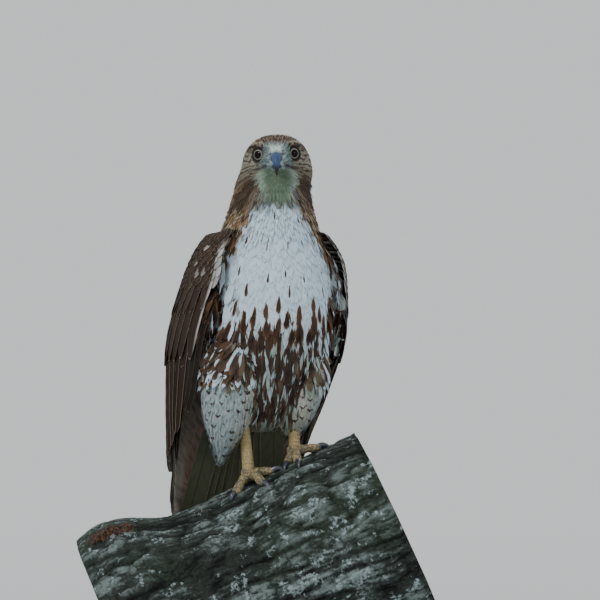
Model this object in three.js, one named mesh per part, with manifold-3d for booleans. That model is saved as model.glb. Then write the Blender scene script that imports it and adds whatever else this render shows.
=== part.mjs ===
// A life-size still model of a red-tailed hawk that stands on a short cut length of a thick limb,
// held by a plain display stand. Millimetres, +Z up. The origin is the centre of the base's underside.
// The bird is shaped in a frame of its own that faces -Y, with its origin between the feet,
// and is then turned and set on the limb.
import * as THREE from "three";
import { mergeVertices } from "three/addons/utils/BufferGeometryUtils.js";
import Module from "manifold-3d";

const wasm = await Module();
wasm.setup();

// Driving dimensions of the stand and the perch
const BASE_LENGTH = 340;
const BASE_DEPTH = 260;
const BASE_THICKNESS = 18;
const BASE_CORNER = 24;
const ROD_RADIUS = 9;
const ROD_SEAT_DEPTH = 32;
const ROD_PLACES = { stand_rod_low: -78, stand_rod_high: 86 };
const LIMB_RADIUS = 140;
const LIMB_LENGTH = 390;
const LIMB_SLOPE = THREE.MathUtils.degToRad(25);
const LIMB_CENTRE_HEIGHT = 246;
const GAP = 0.3;

// Driving dimensions of the bird
const BODY_YAW = THREE.MathUtils.degToRad(21);
const BODY_ROLL = THREE.MathUtils.degToRad(0.6);
const FEET_PLACE = new THREE.Vector3(4, -8, 420);
const NECK_CUT_HEIGHT = 300;
const HEAD_HEIGHT = 402;
const HEAD_FORWARD = -14;
const HEAD_SIDE = 2;
const HEAD_YAW = THREE.MathUtils.degToRad(-21);
const HEAD_ROLL = THREE.MathUtils.degToRad(-2.7);
const HEAD_PITCH = THREE.MathUtils.degToRad(6);
const EYE_RADIUS = 11;
const EYE_SIDE = 19;
const EYE_FORWARD = -15;
const EYE_TURN = THREE.MathUtils.degToRad(33);
const EYE_LEVEL = -0.4;
const EYE_UPWARD = 0.04;
const TAIL_SPREAD_BASE = 30;
const TAIL_SPREAD_TIP = 84;

// Named stations from the vent up to the nape: height, middle of the section, half width and
// half depth
const BODY_STATIONS = [
  { z: 40, y: 28, width: 22, depth: 30 },
  { z: 52, y: 26, width: 42, depth: 46 },
  { z: 78, y: 22, width: 60, depth: 62 },
  { z: 120, y: 15, width: 74, depth: 74 },
  { z: 170, y: 5, width: 82, depth: 80 },
  { z: 220, y: 0, width: 84, depth: 79 },
  { z: 260, y: 0, width: 78, depth: 72 },
  { z: 300, y: -1, width: 66, depth: 62 },
  { z: 330, y: -3, width: 56, depth: 53 },
  { z: 358, x: 0, y: -6, width: 52, depth: 49 },
  { z: 388, x: 3.5, y: 0, width: 42, depth: 34 },
];

// Sections of the head from the root of the bill back to the nape, with heights counted from the
// eyes: each has its own level of greatest width
const HEAD_STATIONS = [
  { y: -45, width: 9, level: -6, top: 3, bottom: -15 },
  { y: -41, width: 14, level: -7, top: 8, bottom: -18 },
  { y: -34, width: 19.5, level: -9, top: 14, bottom: -22 },
  { y: -24, width: 29.5, level: -13, top: 21, bottom: -29 },
  { y: -10, width: 40.5, level: -20, top: 25, bottom: -40 },
  { y: 7, width: 47, level: -26, top: 27, bottom: -50 },
  { y: 23, width: 47, level: -28, top: 22.5, bottom: -56 },
  { y: 37, width: 39, level: -26, top: 10, bottom: -53 },
  { y: 47, width: 24, level: -24, top: -6, bottom: -43 },
];
const HEAD_TOP_FULLNESS = 2.4;

// Sections of each folded wing from the shoulder down to the tip: the leading edge, the crest of
// the outer face and the trailing edge, as [side, back, up] with side counted away from the body
const WING_STATIONS = {
  wing_left: [
    { lead: [58, -36, 304], crest: [76, 12, 300], trail: [38, 64, 302] },
    { lead: [82, -42, 264], crest: [95, 20, 264], trail: [36, 76, 262] },
    { lead: [90, -40, 224], crest: [103, 32, 224], trail: [34, 88, 215] },
    { lead: [95, -26, 160], crest: [105, 50, 158], trail: [28, 100, 155] },
    { lead: [86, 24, 90], crest: [98, 82, 79], trail: [26, 113, 80] },
    { lead: [76, 80, 34], crest: [91, 106, 26], trail: [32, 126, 30] },
    { lead: [80, 122, -22], crest: [88, 133, -30], trail: [48, 145, -28] },
    { lead: [84, 147, -72], crest: [87, 150, -74], trail: [74, 154, -72] },
  ],
  wing_right: [
    { lead: [66, -36, 302], crest: [80, 18, 298], trail: [38, 64, 302] },
    { lead: [82, -43, 264], crest: [98, 30, 264], trail: [36, 76, 262] },
    { lead: [88, -45, 224], crest: [107, 50, 224], trail: [34, 88, 215] },
    { lead: [97, -28, 160], crest: [116, 72, 158], trail: [29, 101, 155] },
    { lead: [88, 24, 84], crest: [110, 95, 79], trail: [27, 114, 80] },
    { lead: [82, 74, 26], crest: [103, 110, 26], trail: [32, 126, 30] },
    { lead: [85, 122, -26], crest: [94, 131, -34], trail: [50, 145, -28] },
    { lead: [88, 146, -78], crest: [90, 149, -80], trail: [77, 153, -78] },
  ],
};

// Feathered thighs from the flank to the pointed tip behind the shank
const THIGH_STATIONS = {
  thigh_left: [
    { z: 150, x: 42, y: -2, width: 30, depth: 40 },
    { z: 118, x: 42, y: -8, width: 33, depth: 46 },
    { z: 84, x: 40, y: -8, width: 29, depth: 42 },
    { z: 58, x: 38, y: -4, width: 23, depth: 33 },
    { z: 42, x: 37, y: 2, width: 16, depth: 22 },
    { z: 29, x: 37, y: 10, width: 8, depth: 10 },
  ],
  thigh_right: [
    { z: 150, x: -50, y: -2, width: 32, depth: 40 },
    { z: 118, x: -54, y: -8, width: 36, depth: 46 },
    { z: 84, x: -58, y: -8, width: 36, depth: 44 },
    { z: 54, x: -59, y: -4, width: 32, depth: 37 },
    { z: 28, x: -59, y: 2, width: 22, depth: 27 },
    { z: 6, x: -60, y: 12, width: 12, depth: 14 },
    { z: -8, x: -61, y: 18, width: 4, depth: 5 },
  ],
};

// The shanks, and each foot's toes by the way they point on the limb: the turn is measured
// from straight ahead towards the bird's left
const LEG = {
  left: { side: 33, ankleSide: 36, forward: -10 },
  right: { side: -30, ankleSide: -38, forward: -10 },
};
const SHANK_RADIUS = 7.2;
const HOCK_HEIGHT = 84;
const SHANK_CUT = 25;
const TOES = {
  left: [
    { name: "inner", turn: -38, length: 30, talon: 24 },
    { name: "middle", turn: -14, length: 42, talon: 22 },
    { name: "outer", turn: 62, length: 34, talon: 18 },
    { name: "hind", turn: 172, length: 24, talon: 26 },
  ],
  right: [
    { name: "inner", turn: 58, length: 32, talon: 24 },
    { name: "middle", turn: 8, length: 42, talon: 22 },
    { name: "outer", turn: -52, length: 34, talon: 18 },
    { name: "hind", turn: 186, length: 24, talon: 26 },
  ],
};
const TOE_RADIUS = 6.4;
const TOE_ARCH = 2.2;
const FOOT_RISE = 7;
const TALON_RADIUS = 3.6;

// Colours and finishes
const FINISH = {
  flank: { color: 0xd8cbb8, roughness: 0.85 },
  brown: { color: 0x5b4636, roughness: 0.8 },
  tail: { color: 0xa85a34, roughness: 0.8 },
  head: { color: 0x7d6a58, roughness: 0.85 },
  bill: { color: 0x3c4046, roughness: 0.35 },
  eye: { color: 0xb9b6a2, roughness: 0.08 },
  shank: { color: 0xb79a4c, roughness: 0.6 },
  talon: { color: 0x24262b, roughness: 0.3 },
  bark: { color: 0x8a8170, roughness: 0.95 },
  stand: { color: 0x2b2a28, roughness: 0.5 },
  rod: { color: 0x8e8f90, roughness: 0.35, metalness: 0.9 },
};

// Closed meshes and solids

function closedGeometry(points, faces) {
  let volume = 0;
  for (let i = 0; i < faces.length; i += 3) {
    const [a, b, c] = [points[faces[i]], points[faces[i + 1]], points[faces[i + 2]]];
    volume += a.dot(b.clone().cross(c));
  }
  const order = volume > 0 ? faces : faces.slice().reverse();
  const geometry = new THREE.BufferGeometry();
  geometry.setFromPoints(points);
  geometry.setIndex(order);
  return geometry;
}

// A closed skin over rings of points, with a fan at each end
function loft(rings) {
  const sides = rings[0].length;
  const points = rings.flat();
  const faces = [];
  for (let r = 0; r + 1 < rings.length; r += 1) {
    for (let i = 0; i < sides; i += 1) {
      const a = r * sides + i;
      const b = r * sides + ((i + 1) % sides);
      faces.push(a, b, b + sides, a, b + sides, a + sides);
    }
  }
  for (const [ring, flip] of [[0, true], [rings.length - 1, false]]) {
    const middle = new THREE.Vector3();
    rings[ring].forEach((p) => middle.addScaledVector(p, 1 / sides));
    const hub = points.push(middle) - 1;
    for (let i = 0; i < sides; i += 1) {
      const a = ring * sides + i;
      const b = ring * sides + ((i + 1) % sides);
      faces.push(...(flip ? [b, a, hub] : [a, b, hub]));
    }
  }
  return closedGeometry(points, faces);
}

function solidOf(geometry) {
  const bare = geometry.clone();
  bare.deleteAttribute("normal");
  bare.deleteAttribute("uv");
  const merged = mergeVertices(bare, 1e-4);
  const mesh = new wasm.Mesh({
    numProp: 3,
    vertProperties: new Float32Array(merged.attributes.position.array),
    triVerts: new Uint32Array(merged.index.array),
  });
  return new wasm.Manifold(mesh);
}

// The largest closed surface of a solid, without loose scraps or sealed hollows
function largest(solid) {
  const pieces = solid.decompose();
  return pieces.reduce((best, piece) => (piece.volume() > best.volume() ? piece : best));
}

function geometryOf(solid) {
  const mesh = solid.getMesh();
  const geometry = new THREE.BufferGeometry();
  geometry.setAttribute("position", new THREE.BufferAttribute(new Float32Array(mesh.vertProperties), 3));
  geometry.setIndex(new THREE.BufferAttribute(new Uint32Array(mesh.triVerts), 1));
  return geometry;
}

function union(solids) {
  return solids.reduce((all, solid) => all.add(solid));
}

// A box between two corners, used as a knife
function block(low, high) {
  const size = high.clone().sub(low);
  const box = new THREE.BoxGeometry(size.x, size.y, size.z);
  box.translate(...low.clone().add(high).multiplyScalar(0.5).toArray());
  return solidOf(box);
}

function above(height) {
  return block(new THREE.Vector3(-600, -600, height), new THREE.Vector3(600, 600, height + 1200));
}

// The surface is welded once more before its largest piece is kept, so that a scrap that hangs on
// by a single corner is left out too
function meshOf(name, solid, finish) {
  const welded = solidOf(geometryOf(largest(solid)));
  const mesh = new THREE.Mesh(geometryOf(largest(welded)), new THREE.MeshStandardMaterial(FINISH[finish]));
  mesh.name = name;
  return mesh;
}

// A smooth value between named stations: the key of each station is passed through in turn
function track(stations, keys) {
  const curve = new THREE.CatmullRomCurve3(
    stations.map((station) => new THREE.Vector3(...keys.map((key) => station[key] ?? 0))),
    false,
    "centripetal",
  );
  return (t) => curve.getPoint(t);
}

// Body: upright sections from the vent to the nape

function uprightLoft(stations, ringsPerStation, sides, grow) {
  const place = track(stations, ["x", "y", "z"]);
  const size = track(stations, ["width", "depth"]);
  const count = (stations.length - 1) * ringsPerStation;
  const rings = [];
  for (let r = 0; r <= count; r += 1) {
    const t = r / count;
    const middle = place(t);
    const half = size(t);
    const lift = r === 0 ? Math.sign(stations[0].z - stations[1].z) * grow : 0;
    const ring = [];
    for (let i = 0; i < sides; i += 1) {
      const angle = (2 * Math.PI * i) / sides;
      ring.push(new THREE.Vector3(
        middle.x + (half.x + grow) * Math.cos(angle),
        middle.y + (half.y + grow) * Math.sin(angle),
        middle.z + lift,
      ));
    }
    rings.push(ring);
  }
  return solidOf(loft(rings));
}

const bodySolid = (grow) => uprightLoft(BODY_STATIONS, 2, 24, grow);
const thighSolid = (name, grow) => uprightLoft(THIGH_STATIONS[name], 2, 16, grow);

// Head: sections from front to back, raised over the brows and drawn in before the eyes

const headPose = new THREE.Matrix4().compose(
  new THREE.Vector3(HEAD_SIDE, HEAD_FORWARD, HEAD_HEIGHT),
  new THREE.Quaternion().setFromEuler(new THREE.Euler(HEAD_PITCH, HEAD_ROLL, HEAD_YAW, "ZYX")),
  new THREE.Vector3(1, 1, 1),
);
const BROW = { forward: -23, side: 26, level: 12, rise: 3.2, reach: 9, aside: 0.8, up: 0.5 };

function headSolid(grow) {
  const size = track(HEAD_STATIONS, ["width", "top", "bottom"]);
  const place = track(HEAD_STATIONS, ["y", "level"]);
  const sides = 26;
  const count = (HEAD_STATIONS.length - 1) * 2;
  const rings = [];
  for (let r = 0; r <= count; r += 1) {
    const section = size(r / count);
    const { x: y, y: level } = place(r / count);
    const ring = [];
    for (let i = 0; i < sides; i += 1) {
      const angle = (2 * Math.PI * i) / sides;
      const [cosine, sine] = [Math.cos(angle), Math.sin(angle)];
      const reach = sine > 0 ? section.y - level : level - section.z;
      // The upper half is squarer than an ellipse
      const power = sine > 0 ? HEAD_TOP_FULLNESS : 2;
      const fullness = (Math.abs(cosine) ** power + Math.abs(sine) ** power) ** (-1 / power);
      const point = new THREE.Vector3(
        (section.x + grow) * cosine * fullness,
        y,
        level + (reach + grow) * sine * fullness,
      );
      const away = Math.hypot(Math.abs(point.x) - BROW.side, y - BROW.forward, point.z - BROW.level);
      const rise = BROW.rise * Math.exp(-((away / BROW.reach) ** 2));
      point.x += rise * Math.sign(point.x) * BROW.aside;
      point.z += rise * BROW.up;
      ring.push(point);
    }
    rings.push(ring);
  }
  return solidOf(loft(rings));
}

function eyeDirection(side) {
  return new THREE.Vector3(side * Math.sin(EYE_TURN), -Math.cos(EYE_TURN), EYE_UPWARD).normalize();
}

function eyeCentre(side) {
  return new THREE.Vector3(side * EYE_SIDE, EYE_FORWARD, EYE_LEVEL);
}

function eyeSolid(side, grow) {
  const ball = new THREE.SphereGeometry(EYE_RADIUS + grow, 16, 12);
  ball.translate(...eyeCentre(side).toArray());
  return solidOf(ball);
}

// Something shaped along +Z is turned to look out of an eye, a distance in front of its centre
function facingEye(geometry, side, distance) {
  const turn = new THREE.Quaternion().setFromUnitVectors(new THREE.Vector3(0, 0, 1), eyeDirection(side));
  geometry.applyQuaternion(turn);
  geometry.translate(...eyeCentre(side).addScaledVector(eyeDirection(side), distance).toArray());
  return solidOf(geometry);
}

const LID = { ring: 8.4, thickness: 1.7, forward: 7.4, opening: 7.4 };
const LID_RIM_SLOPE = 4;
const LID_BORE = { length: 12, ahead: 7 };
const GAPE = {
  length: 34, height: 0.7, depth: 2.2, side: 19, forward: -36, level: -14.5, pitch: -0.22, turn: 0.62,
};

function lidSolid(side) {
  return facingEye(new THREE.TorusGeometry(LID.ring, LID.thickness, 6, 16), side, LID.forward);
}

function lidOpening(side) {
  const bore = new THREE.CylinderGeometry(LID.opening + LID_RIM_SLOPE, LID.opening, LID_BORE.length, 16);
  bore.rotateX(Math.PI / 2);
  return facingEye(bore, side, LID.forward + LID_BORE.ahead);
}

// The line of the mouth runs on as a shallow groove in the cheek below the eye
function gapeGroove(side) {
  const groove = new THREE.BoxGeometry(GAPE.depth * 2, GAPE.length, GAPE.height);
  groove.rotateX(GAPE.pitch);
  groove.rotateZ(side * GAPE.turn);
  groove.translate(side * GAPE.side, GAPE.forward, GAPE.level);
  return solidOf(groove);
}

function headWithFace() {
  let head = headSolid(0);
  for (const side of [-1, 1]) {
    head = head.add(lidSolid(side));
  }
  for (const side of [-1, 1]) {
    head = head.subtract(lidOpening(side)).subtract(eyeSolid(side, GAP)).subtract(gapeGroove(side));
  }
  return head;
}

// Bill: the upper half with its soft cere and hooked point, and the lower half below it

const UPPER_BILL = [
  { y: -30, z: -4, width: 9.6, height: 8 },
  { y: -43, z: -3.8, width: 8.8, height: 8.2 },
  { y: -48.5, z: -4.8, width: 7.8, height: 7.8 },
  { y: -54, z: -8, width: 6.4, height: 7 },
  { y: -58, z: -13, width: 5.2, height: 6 },
  { y: -60, z: -19, width: 3.8, height: 4.5 },
  { y: -59.8, z: -24, width: 2.2, height: 2.6 },
  { y: -58.4, z: -28, width: 0.7, height: 0.8 },
];
const LOWER_BILL = [
  { y: -30, z: -16.5, width: 9.4, height: 4 },
  { y: -42, z: -16.2, width: 7.8, height: 4 },
  { y: -49, z: -16, width: 5.4, height: 3.3 },
  { y: -53.5, z: -15.6, width: 2.8, height: 2 },
];
const NOSTRIL = { side: 7.4, forward: -47, level: -1.2, radius: 2 };

// Sections square to a line that bends only up and down
function billLoft(stations, grow) {
  const place = track(stations, ["y", "z"]);
  const size = track(stations, ["width", "height"]);
  const sides = 12;
  const count = (stations.length - 1) * 2;
  const rings = [];
  for (let r = 0; r <= count; r += 1) {
    const t = r / count;
    const middle = place(t);
    const ahead = place(Math.min(1, t + 0.01)).sub(place(Math.max(0, t - 0.01))).normalize();
    const half = size(t);
    const ring = [];
    for (let i = 0; i < sides; i += 1) {
      const angle = (2 * Math.PI * i) / sides;
      const up = (half.y + grow) * Math.sin(angle);
      ring.push(new THREE.Vector3(
        (half.x + grow) * Math.cos(angle) * (Math.sin(angle) > 0 ? 1 - 0.15 * Math.sin(angle) : 1),
        middle.x + up * ahead.y,
        middle.y - up * ahead.x,
      ));
    }
    rings.push(ring);
  }
  return solidOf(loft(rings));
}

function nostrilHole(side) {
  const hole = new THREE.SphereGeometry(NOSTRIL.radius, 8, 6);
  hole.scale(0.7, 1.2, 0.8);
  hole.translate(side * NOSTRIL.side, NOSTRIL.forward, NOSTRIL.level);
  return solidOf(hole);
}

function upperBill() {
  const bill = billLoft(UPPER_BILL, 0).subtract(headSolid(GAP));
  return bill.subtract(nostrilHole(-1)).subtract(nostrilHole(1));
}

function lowerBill() {
  return billLoft(LOWER_BILL, 0).subtract(headSolid(GAP)).subtract(billLoft(UPPER_BILL, GAP));
}

// Limb: a thick leaning log with long bark ridges, a swelling on its lower end and sawn faces

const BARK_RIDGES = 11;
const BARK_RELIEF = 2.6;
const KNOT = { along: -158, spread: 72, rise: 31 };

const limbPose = new THREE.Matrix4().compose(
  new THREE.Vector3(0, 0, LIMB_CENTRE_HEIGHT),
  new THREE.Quaternion().setFromEuler(new THREE.Euler(0, -LIMB_SLOPE, 0)),
  new THREE.Vector3(1, 1, 1),
);

// The limb's own frame has its length on X; the angle is 0 at the top and grows to the back
function limbRadiusAt(along, angle) {
  const ridges = BARK_RELIEF * Math.sin(BARK_RIDGES * angle + 0.9 * Math.sin(along / 46));
  const top = Math.max(0, Math.cos(angle + 0.25)) ** 2;
  const knot = KNOT.rise * top * Math.exp(-(((along - KNOT.along) / KNOT.spread) ** 2));
  const calm = 1 - Math.exp(-((angle / 0.42) ** 2));
  return LIMB_RADIUS + ridges * calm + knot + 1.5 * Math.sin(along / 37 + 2 * angle);
}

function limbSolid(grow) {
  const sides = 34;
  const steps = 10;
  const rings = [];
  for (let r = 0; r <= steps; r += 1) {
    const end = r === 0 || r === steps;
    const along = (LIMB_LENGTH + (end ? 2 * grow : 0)) * (r / steps - 0.5);
    const ring = [];
    for (let i = 0; i < sides; i += 1) {
      const turn = (2 * Math.PI * i) / sides;
      const angle = turn > Math.PI ? turn - 2 * Math.PI : turn;
      const radius = limbRadiusAt(along, angle) + grow;
      ring.push(new THREE.Vector3(along, radius * Math.sin(angle), radius * Math.cos(angle)));
    }
    rings.push(ring);
  }
  const geometry = loft(rings);
  geometry.applyMatrix4(limbPose);
  return solidOf(geometry);
}

const birdPose = new THREE.Matrix4().compose(
  FEET_PLACE,
  new THREE.Quaternion().setFromEuler(new THREE.Euler(0, BODY_ROLL, BODY_YAW, "ZYX")),
  new THREE.Vector3(1, 1, 1),
);
const intoBird = birdPose.clone().invert();

function moved(solid, matrix) {
  return solid.transform(matrix.toArray());
}

const limbInBird = (grow) => moved(limbSolid(grow), intoBird);

// The height of the limb's top above a place of the bird's frame
function limbTopAt(x, y) {
  const place = new THREE.Vector3(x, y, 0).applyMatrix4(birdPose);
  const across = place.y;
  const guess = Math.sqrt(Math.max(0, LIMB_RADIUS ** 2 - across ** 2)) / Math.cos(LIMB_SLOPE);
  const height = LIMB_CENTRE_HEIGHT + place.x * Math.tan(LIMB_SLOPE) + guess;
  return height - FEET_PLACE.z;
}

// Vanes: thin feathers that follow the face they lie on, split into triangles alike on both sides

const VANE_THICKNESS = 0.7;
const LENGTH_VARIATION = 0.007;
const WIDTH_VARIATION = 0.05;
const VANE_ROWS = [
  { along: 0, edge: 0, width: 0.22 },
  { along: 0.26, edge: 0.26, width: 0.85 },
  { along: 0.68, edge: 0.68, width: 1 },
  { along: 1, edge: 0.93, width: 0.62 },
];
const COVERT_ROWS = [
  { along: 0, edge: 0, width: 0.22 },
  { along: 0.4, edge: 0.4, width: 1 },
  { along: 1, edge: 0.86, width: 0.7 },
];
const RECTRIX_ROWS = [...VANE_ROWS.slice(0, 3), { along: 1, edge: 0.972, width: 0.8 }];

// The place gives a point for a share of the length, a distance across and a height over the face.
// The root starts sunk below the face and the vane rises to its lift. One edge is raised over the
// next vane while the other is tucked under it
function vaneSolid(place, { width, root, lift, roll, rows = VANE_ROWS }) {
  const faces = [];
  const upper = [];
  const lower = [];
  for (const row of rows) {
    for (const u of [-1, 0, 1]) {
      const share = u === 0 ? row.along : row.edge;
      const across = (u * width * row.width) / 2;
      const rise = THREE.MathUtils.lerp(root, lift, Math.min(1, share / rows[1].along));
      const height = rise - u * roll * row.width;
      upper.push(place(share, across, height + VANE_THICKNESS / 2));
      lower.push(place(share, across, height - VANE_THICKNESS / 2));
    }
  }
  const under = upper.length;
  const quad = (a, b, c, d) => faces.push(a, b, c, a, c, d);
  for (let r = 0; r + 1 < rows.length; r += 1) {
    for (const c of [0, 1]) {
      const a = 3 * r + c;
      quad(a, a + 1, a + 4, a + 3);
      faces.push(under + a, under + a + 4, under + a + 1, under + a, under + a + 3, under + a + 4);
    }
    quad(3 * r + 3, under + 3 * r + 3, under + 3 * r, 3 * r);
    quad(3 * r + 2, under + 3 * r + 2, under + 3 * r + 5, 3 * r + 5);
  }
  const last = 3 * (rows.length - 1);
  for (const c of [0, 1]) {
    quad(c + 1, c, under + c, under + c + 1);
    quad(last + c, last + c + 1, under + last + c + 1, under + last + c);
  }
  return solidOf(closedGeometry([...upper, ...lower], faces));
}

// Wings: sections from shoulder to tip, with a rounded outer face

function wingSurface(name) {
  const side = name === "wing_left" ? 1 : -1;
  const curves = ["lead", "crest", "trail"].map((edge) => new THREE.CatmullRomCurve3(
    WING_STATIONS[name].map((station) => new THREE.Vector3(...station[edge])),
    false,
    "centripetal",
  ));
  return (s, t) => {
    const [lead, crest, trail] = curves.map((curve) => curve.getPoint(s));
    const point = lead.multiplyScalar(2 * t * t - 3 * t + 1);
    point.addScaledVector(crest, 4 * t - 4 * t * t).addScaledVector(trail, 2 * t * t - t);
    point.x *= side;
    return point;
  };
}

// The way out of the wing's face at a place on it
function wingOutward(surface, s, t, side) {
  const step = 0.01;
  const along = surface(Math.min(1, s + step), t).sub(surface(Math.max(0, s - step), t));
  const across = surface(s, t + step).sub(surface(s, t - step));
  return along.cross(across).multiplyScalar(side).normalize();
}

const WING_ACROSS = 7;
const WING_CORE_DEPTH = 34;
const WING_CORE_THICK_UNTIL = 0.45;
const WING_CORE_EDGE = 9;

function wingCore(name, end, steps) {
  const side = name === "wing_left" ? 1 : -1;
  const surface = wingSurface(name);
  const rings = [];
  for (let r = 0; r <= steps; r += 1) {
    const s = (end * r) / steps;
    const depth = WING_CORE_EDGE + WING_CORE_DEPTH * Math.max(0, 1 - s / WING_CORE_THICK_UNTIL) ** 0.7;
    const level = THREE.MathUtils.lerp(WING_CORE_TOP_LEVEL, WING_CORE_END_LEVEL, r / steps);
    const outer = [];
    const inner = [];
    for (let i = 0; i < WING_ACROSS; i += 1) {
      const t = i / (WING_ACROSS - 1);
      const out = wingOutward(surface, s, t, side);
      const point = surface(s, t).addScaledVector(out, level);
      outer.push(point);
      const taper = Math.sin(Math.PI * Math.min(1, Math.max(0, t))) ** 0.6;
      if (i > 0 && i < WING_ACROSS - 1) {
        inner.push(point.clone().addScaledVector(out, -Math.max(1.2, depth * taper)));
      }
    }
    rings.push([...outer, ...inner.reverse()]);
  }
  return solidOf(loft(rings));
}

// A vane's course over the wing's face from its root to its tip
function wingPlace(surface, side, root, tip, reach) {
  return (share, across, height) => {
    const s = THREE.MathUtils.lerp(root[0], tip[0], share);
    const t = THREE.MathUtils.lerp(root[1], tip[1], share);
    const spread = surface(s, t + 0.01).distanceTo(surface(s, t - 0.01)) / 0.02;
    const aside = THREE.MathUtils.clamp(t + across / spread, reach, 1 - reach);
    const beyond = t + across / spread - aside;
    const tangent = surface(s, aside + 0.01).sub(surface(s, aside - 0.01)).multiplyScalar(beyond / 0.02);
    return surface(s, aside).add(tangent).addScaledVector(wingOutward(surface, s, aside, side), height);
  };
}

// The wing's tiers: each runs from the leading edge to the trailing edge, with its first and last
// vane's root and tip given as [down the wing, across it]. Root and lift are heights over the outer
// face, which grow by a step from one vane to the next. The row of tips bows down in its middle.
// The coverts lie each over one secondary. Inside the reach from either edge a vane runs on straight
const SECONDARY_COUNT = 7;
const SECONDARY_FIRST = 0.13;
const SECONDARY_LAST = 0.9;
const WING_TIERS = {
  primaries: {
    count: 5, width: 25, lift: -11.5, root: -11.5, step: 1.7, bow: 0, roll: 0, reach: 0.3, rows: VANE_ROWS,
    stacked: true,
    first: { root: [0.42, 0.12], tip: [0.995, 0.36] }, last: { root: [0.42, 0.6], tip: [0.86, 0.88] },
  },
  primaryCoverts: {
    count: 2, width: 19, lift: -3.2, root: -6.4, step: 0.9, bow: 0, roll: 0.4, reach: 0.1,
    rows: COVERT_ROWS,
    first: { root: [0.37, 0.02], tip: [0.62, 0.07] }, last: { root: [0.37, 0.12], tip: [0.58, 0.17] },
  },
  secondaries: {
    count: SECONDARY_COUNT, width: 30, lift: -1.3, root: -7, step: 0.3, bow: 0.09, roll: 1.2, reach: 0,
    rows: VANE_ROWS,
    first: { root: [0.38, SECONDARY_FIRST], tip: [0.69, SECONDARY_FIRST + 0.08] },
    last: { root: [0.36, SECONDARY_LAST], tip: [0.64, SECONDARY_LAST - 0.03] },
  },
  greaterCoverts: {
    count: SECONDARY_COUNT, width: 31, lift: 0.1, root: -7.5, step: 0.3, bow: 0, roll: 1.2, reach: 0,
    rows: COVERT_ROWS,
    first: { root: [0.26, SECONDARY_FIRST], tip: [0.48, SECONDARY_FIRST + 0.02] },
    last: { root: [0.26, SECONDARY_LAST], tip: [0.46, SECONDARY_LAST] },
  },
  medianCoverts: {
    count: SECONDARY_COUNT, width: 31, lift: 0.1, root: -7.5, step: 0.3, bow: 0, roll: 1.2, reach: 0,
    rows: COVERT_ROWS,
    first: { root: [0.11, SECONDARY_FIRST], tip: [0.3, SECONDARY_FIRST] },
    last: { root: [0.11, SECONDARY_LAST], tip: [0.3, SECONDARY_LAST] },
  },
};
const WING_CORE_TOP_LEVEL = -4.8;
const WING_CORE_END_LEVEL = -3.6;
const WING_CORE_END = 0.47;
const WING_CORE_STEPS = 6;

// A repeatable draw between -1 and 1
function seededDraw(seed) {
  let state = seed;
  return () => {
    state = (state * 16807) % 2147483647;
    return (2 * state) / 2147483647 - 1;
  };
}

function wingVanes(name) {
  const side = name === "wing_left" ? 1 : -1;
  const surface = wingSurface(name);
  const draw = seededDraw(side > 0 ? 417 : 503);
  const vanes = [];
  for (const tier of Object.values(WING_TIERS)) {
    for (let i = 0; i < tier.count; i += 1) {
      const share = i / (tier.count - 1);
      const mix = (end) => [0, 1].map(
        (k) => THREE.MathUtils.lerp(tier.first[end][k], tier.last[end][k], share),
      );
      const tip = mix("tip");
      tip[0] = Math.min(0.995, tip[0] + tier.bow * Math.sin(Math.PI * share) + LENGTH_VARIATION * draw());
      vanes.push(vaneSolid(wingPlace(surface, side, mix("root"), tip, tier.reach), {
        width: tier.width * (1 + WIDTH_VARIATION * draw()),
        root: tier.root + (tier.stacked ? tier.step * i : 0),
        lift: tier.lift + tier.step * i,
        roll: tier.roll,
        rows: tier.rows,
      }));
    }
  }
  return vanes;
}

const wingSolid = (name) => union([wingCore(name, WING_CORE_END, WING_CORE_STEPS), ...wingVanes(name)]);

// Tail: a shallow fan that hangs from the rump behind the limb

const TAIL_LINE = [
  { y: 56, z: 106 },
  { y: 84, z: 70 },
  { y: 108, z: 16 },
  { y: 130, z: -48 },
  { y: 144, z: -96 },
];
const TAIL_SIDE = -2;
const TAIL_CUP = 7;
const TAIL_ROOT_DEPTH = 18;
const TAIL_CORE_DEPTH = 8;

function tailPoint(s, t) {
  const line = track(TAIL_LINE, ["y", "z"])(Math.min(1, s));
  const half = THREE.MathUtils.lerp(TAIL_SPREAD_BASE, TAIL_SPREAD_TIP, s ** 0.8);
  return new THREE.Vector3(TAIL_SIDE + half * t, line.x - TAIL_CUP * t * t, line.y + 10 * s * t * t);
}

// The fleshy root with its coverts, down to a share of the tail's length
function tailCore(end, steps) {
  const rings = [];
  const across = 8;
  for (let r = 0; r <= steps; r += 1) {
    const s = (end * r) / steps;
    const back = [];
    const front = [];
    for (let i = 0; i <= across; i += 1) {
      const t = (2 * i) / across - 1;
      const thickness = THREE.MathUtils.lerp(TAIL_ROOT_DEPTH, TAIL_CORE_DEPTH, s / end) * (1 - 0.3 * t * t);
      const point = tailPoint(s, t);
      back.push(point.clone().add(new THREE.Vector3(0, thickness / 2, 0)));
      front.push(point.clone().add(new THREE.Vector3(0, -thickness / 2, 0)));
    }
    rings.push([...back, ...front.reverse()]);
  }
  return solidOf(loft(rings));
}

const RECTRIX = { pairs: 6, width: 34, step: 1.3, roll: 0.3, rootShare: 0.16, fan: 0.86, shorten: 0.035 };
const TAIL_CORE_END = 0.42;

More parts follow.
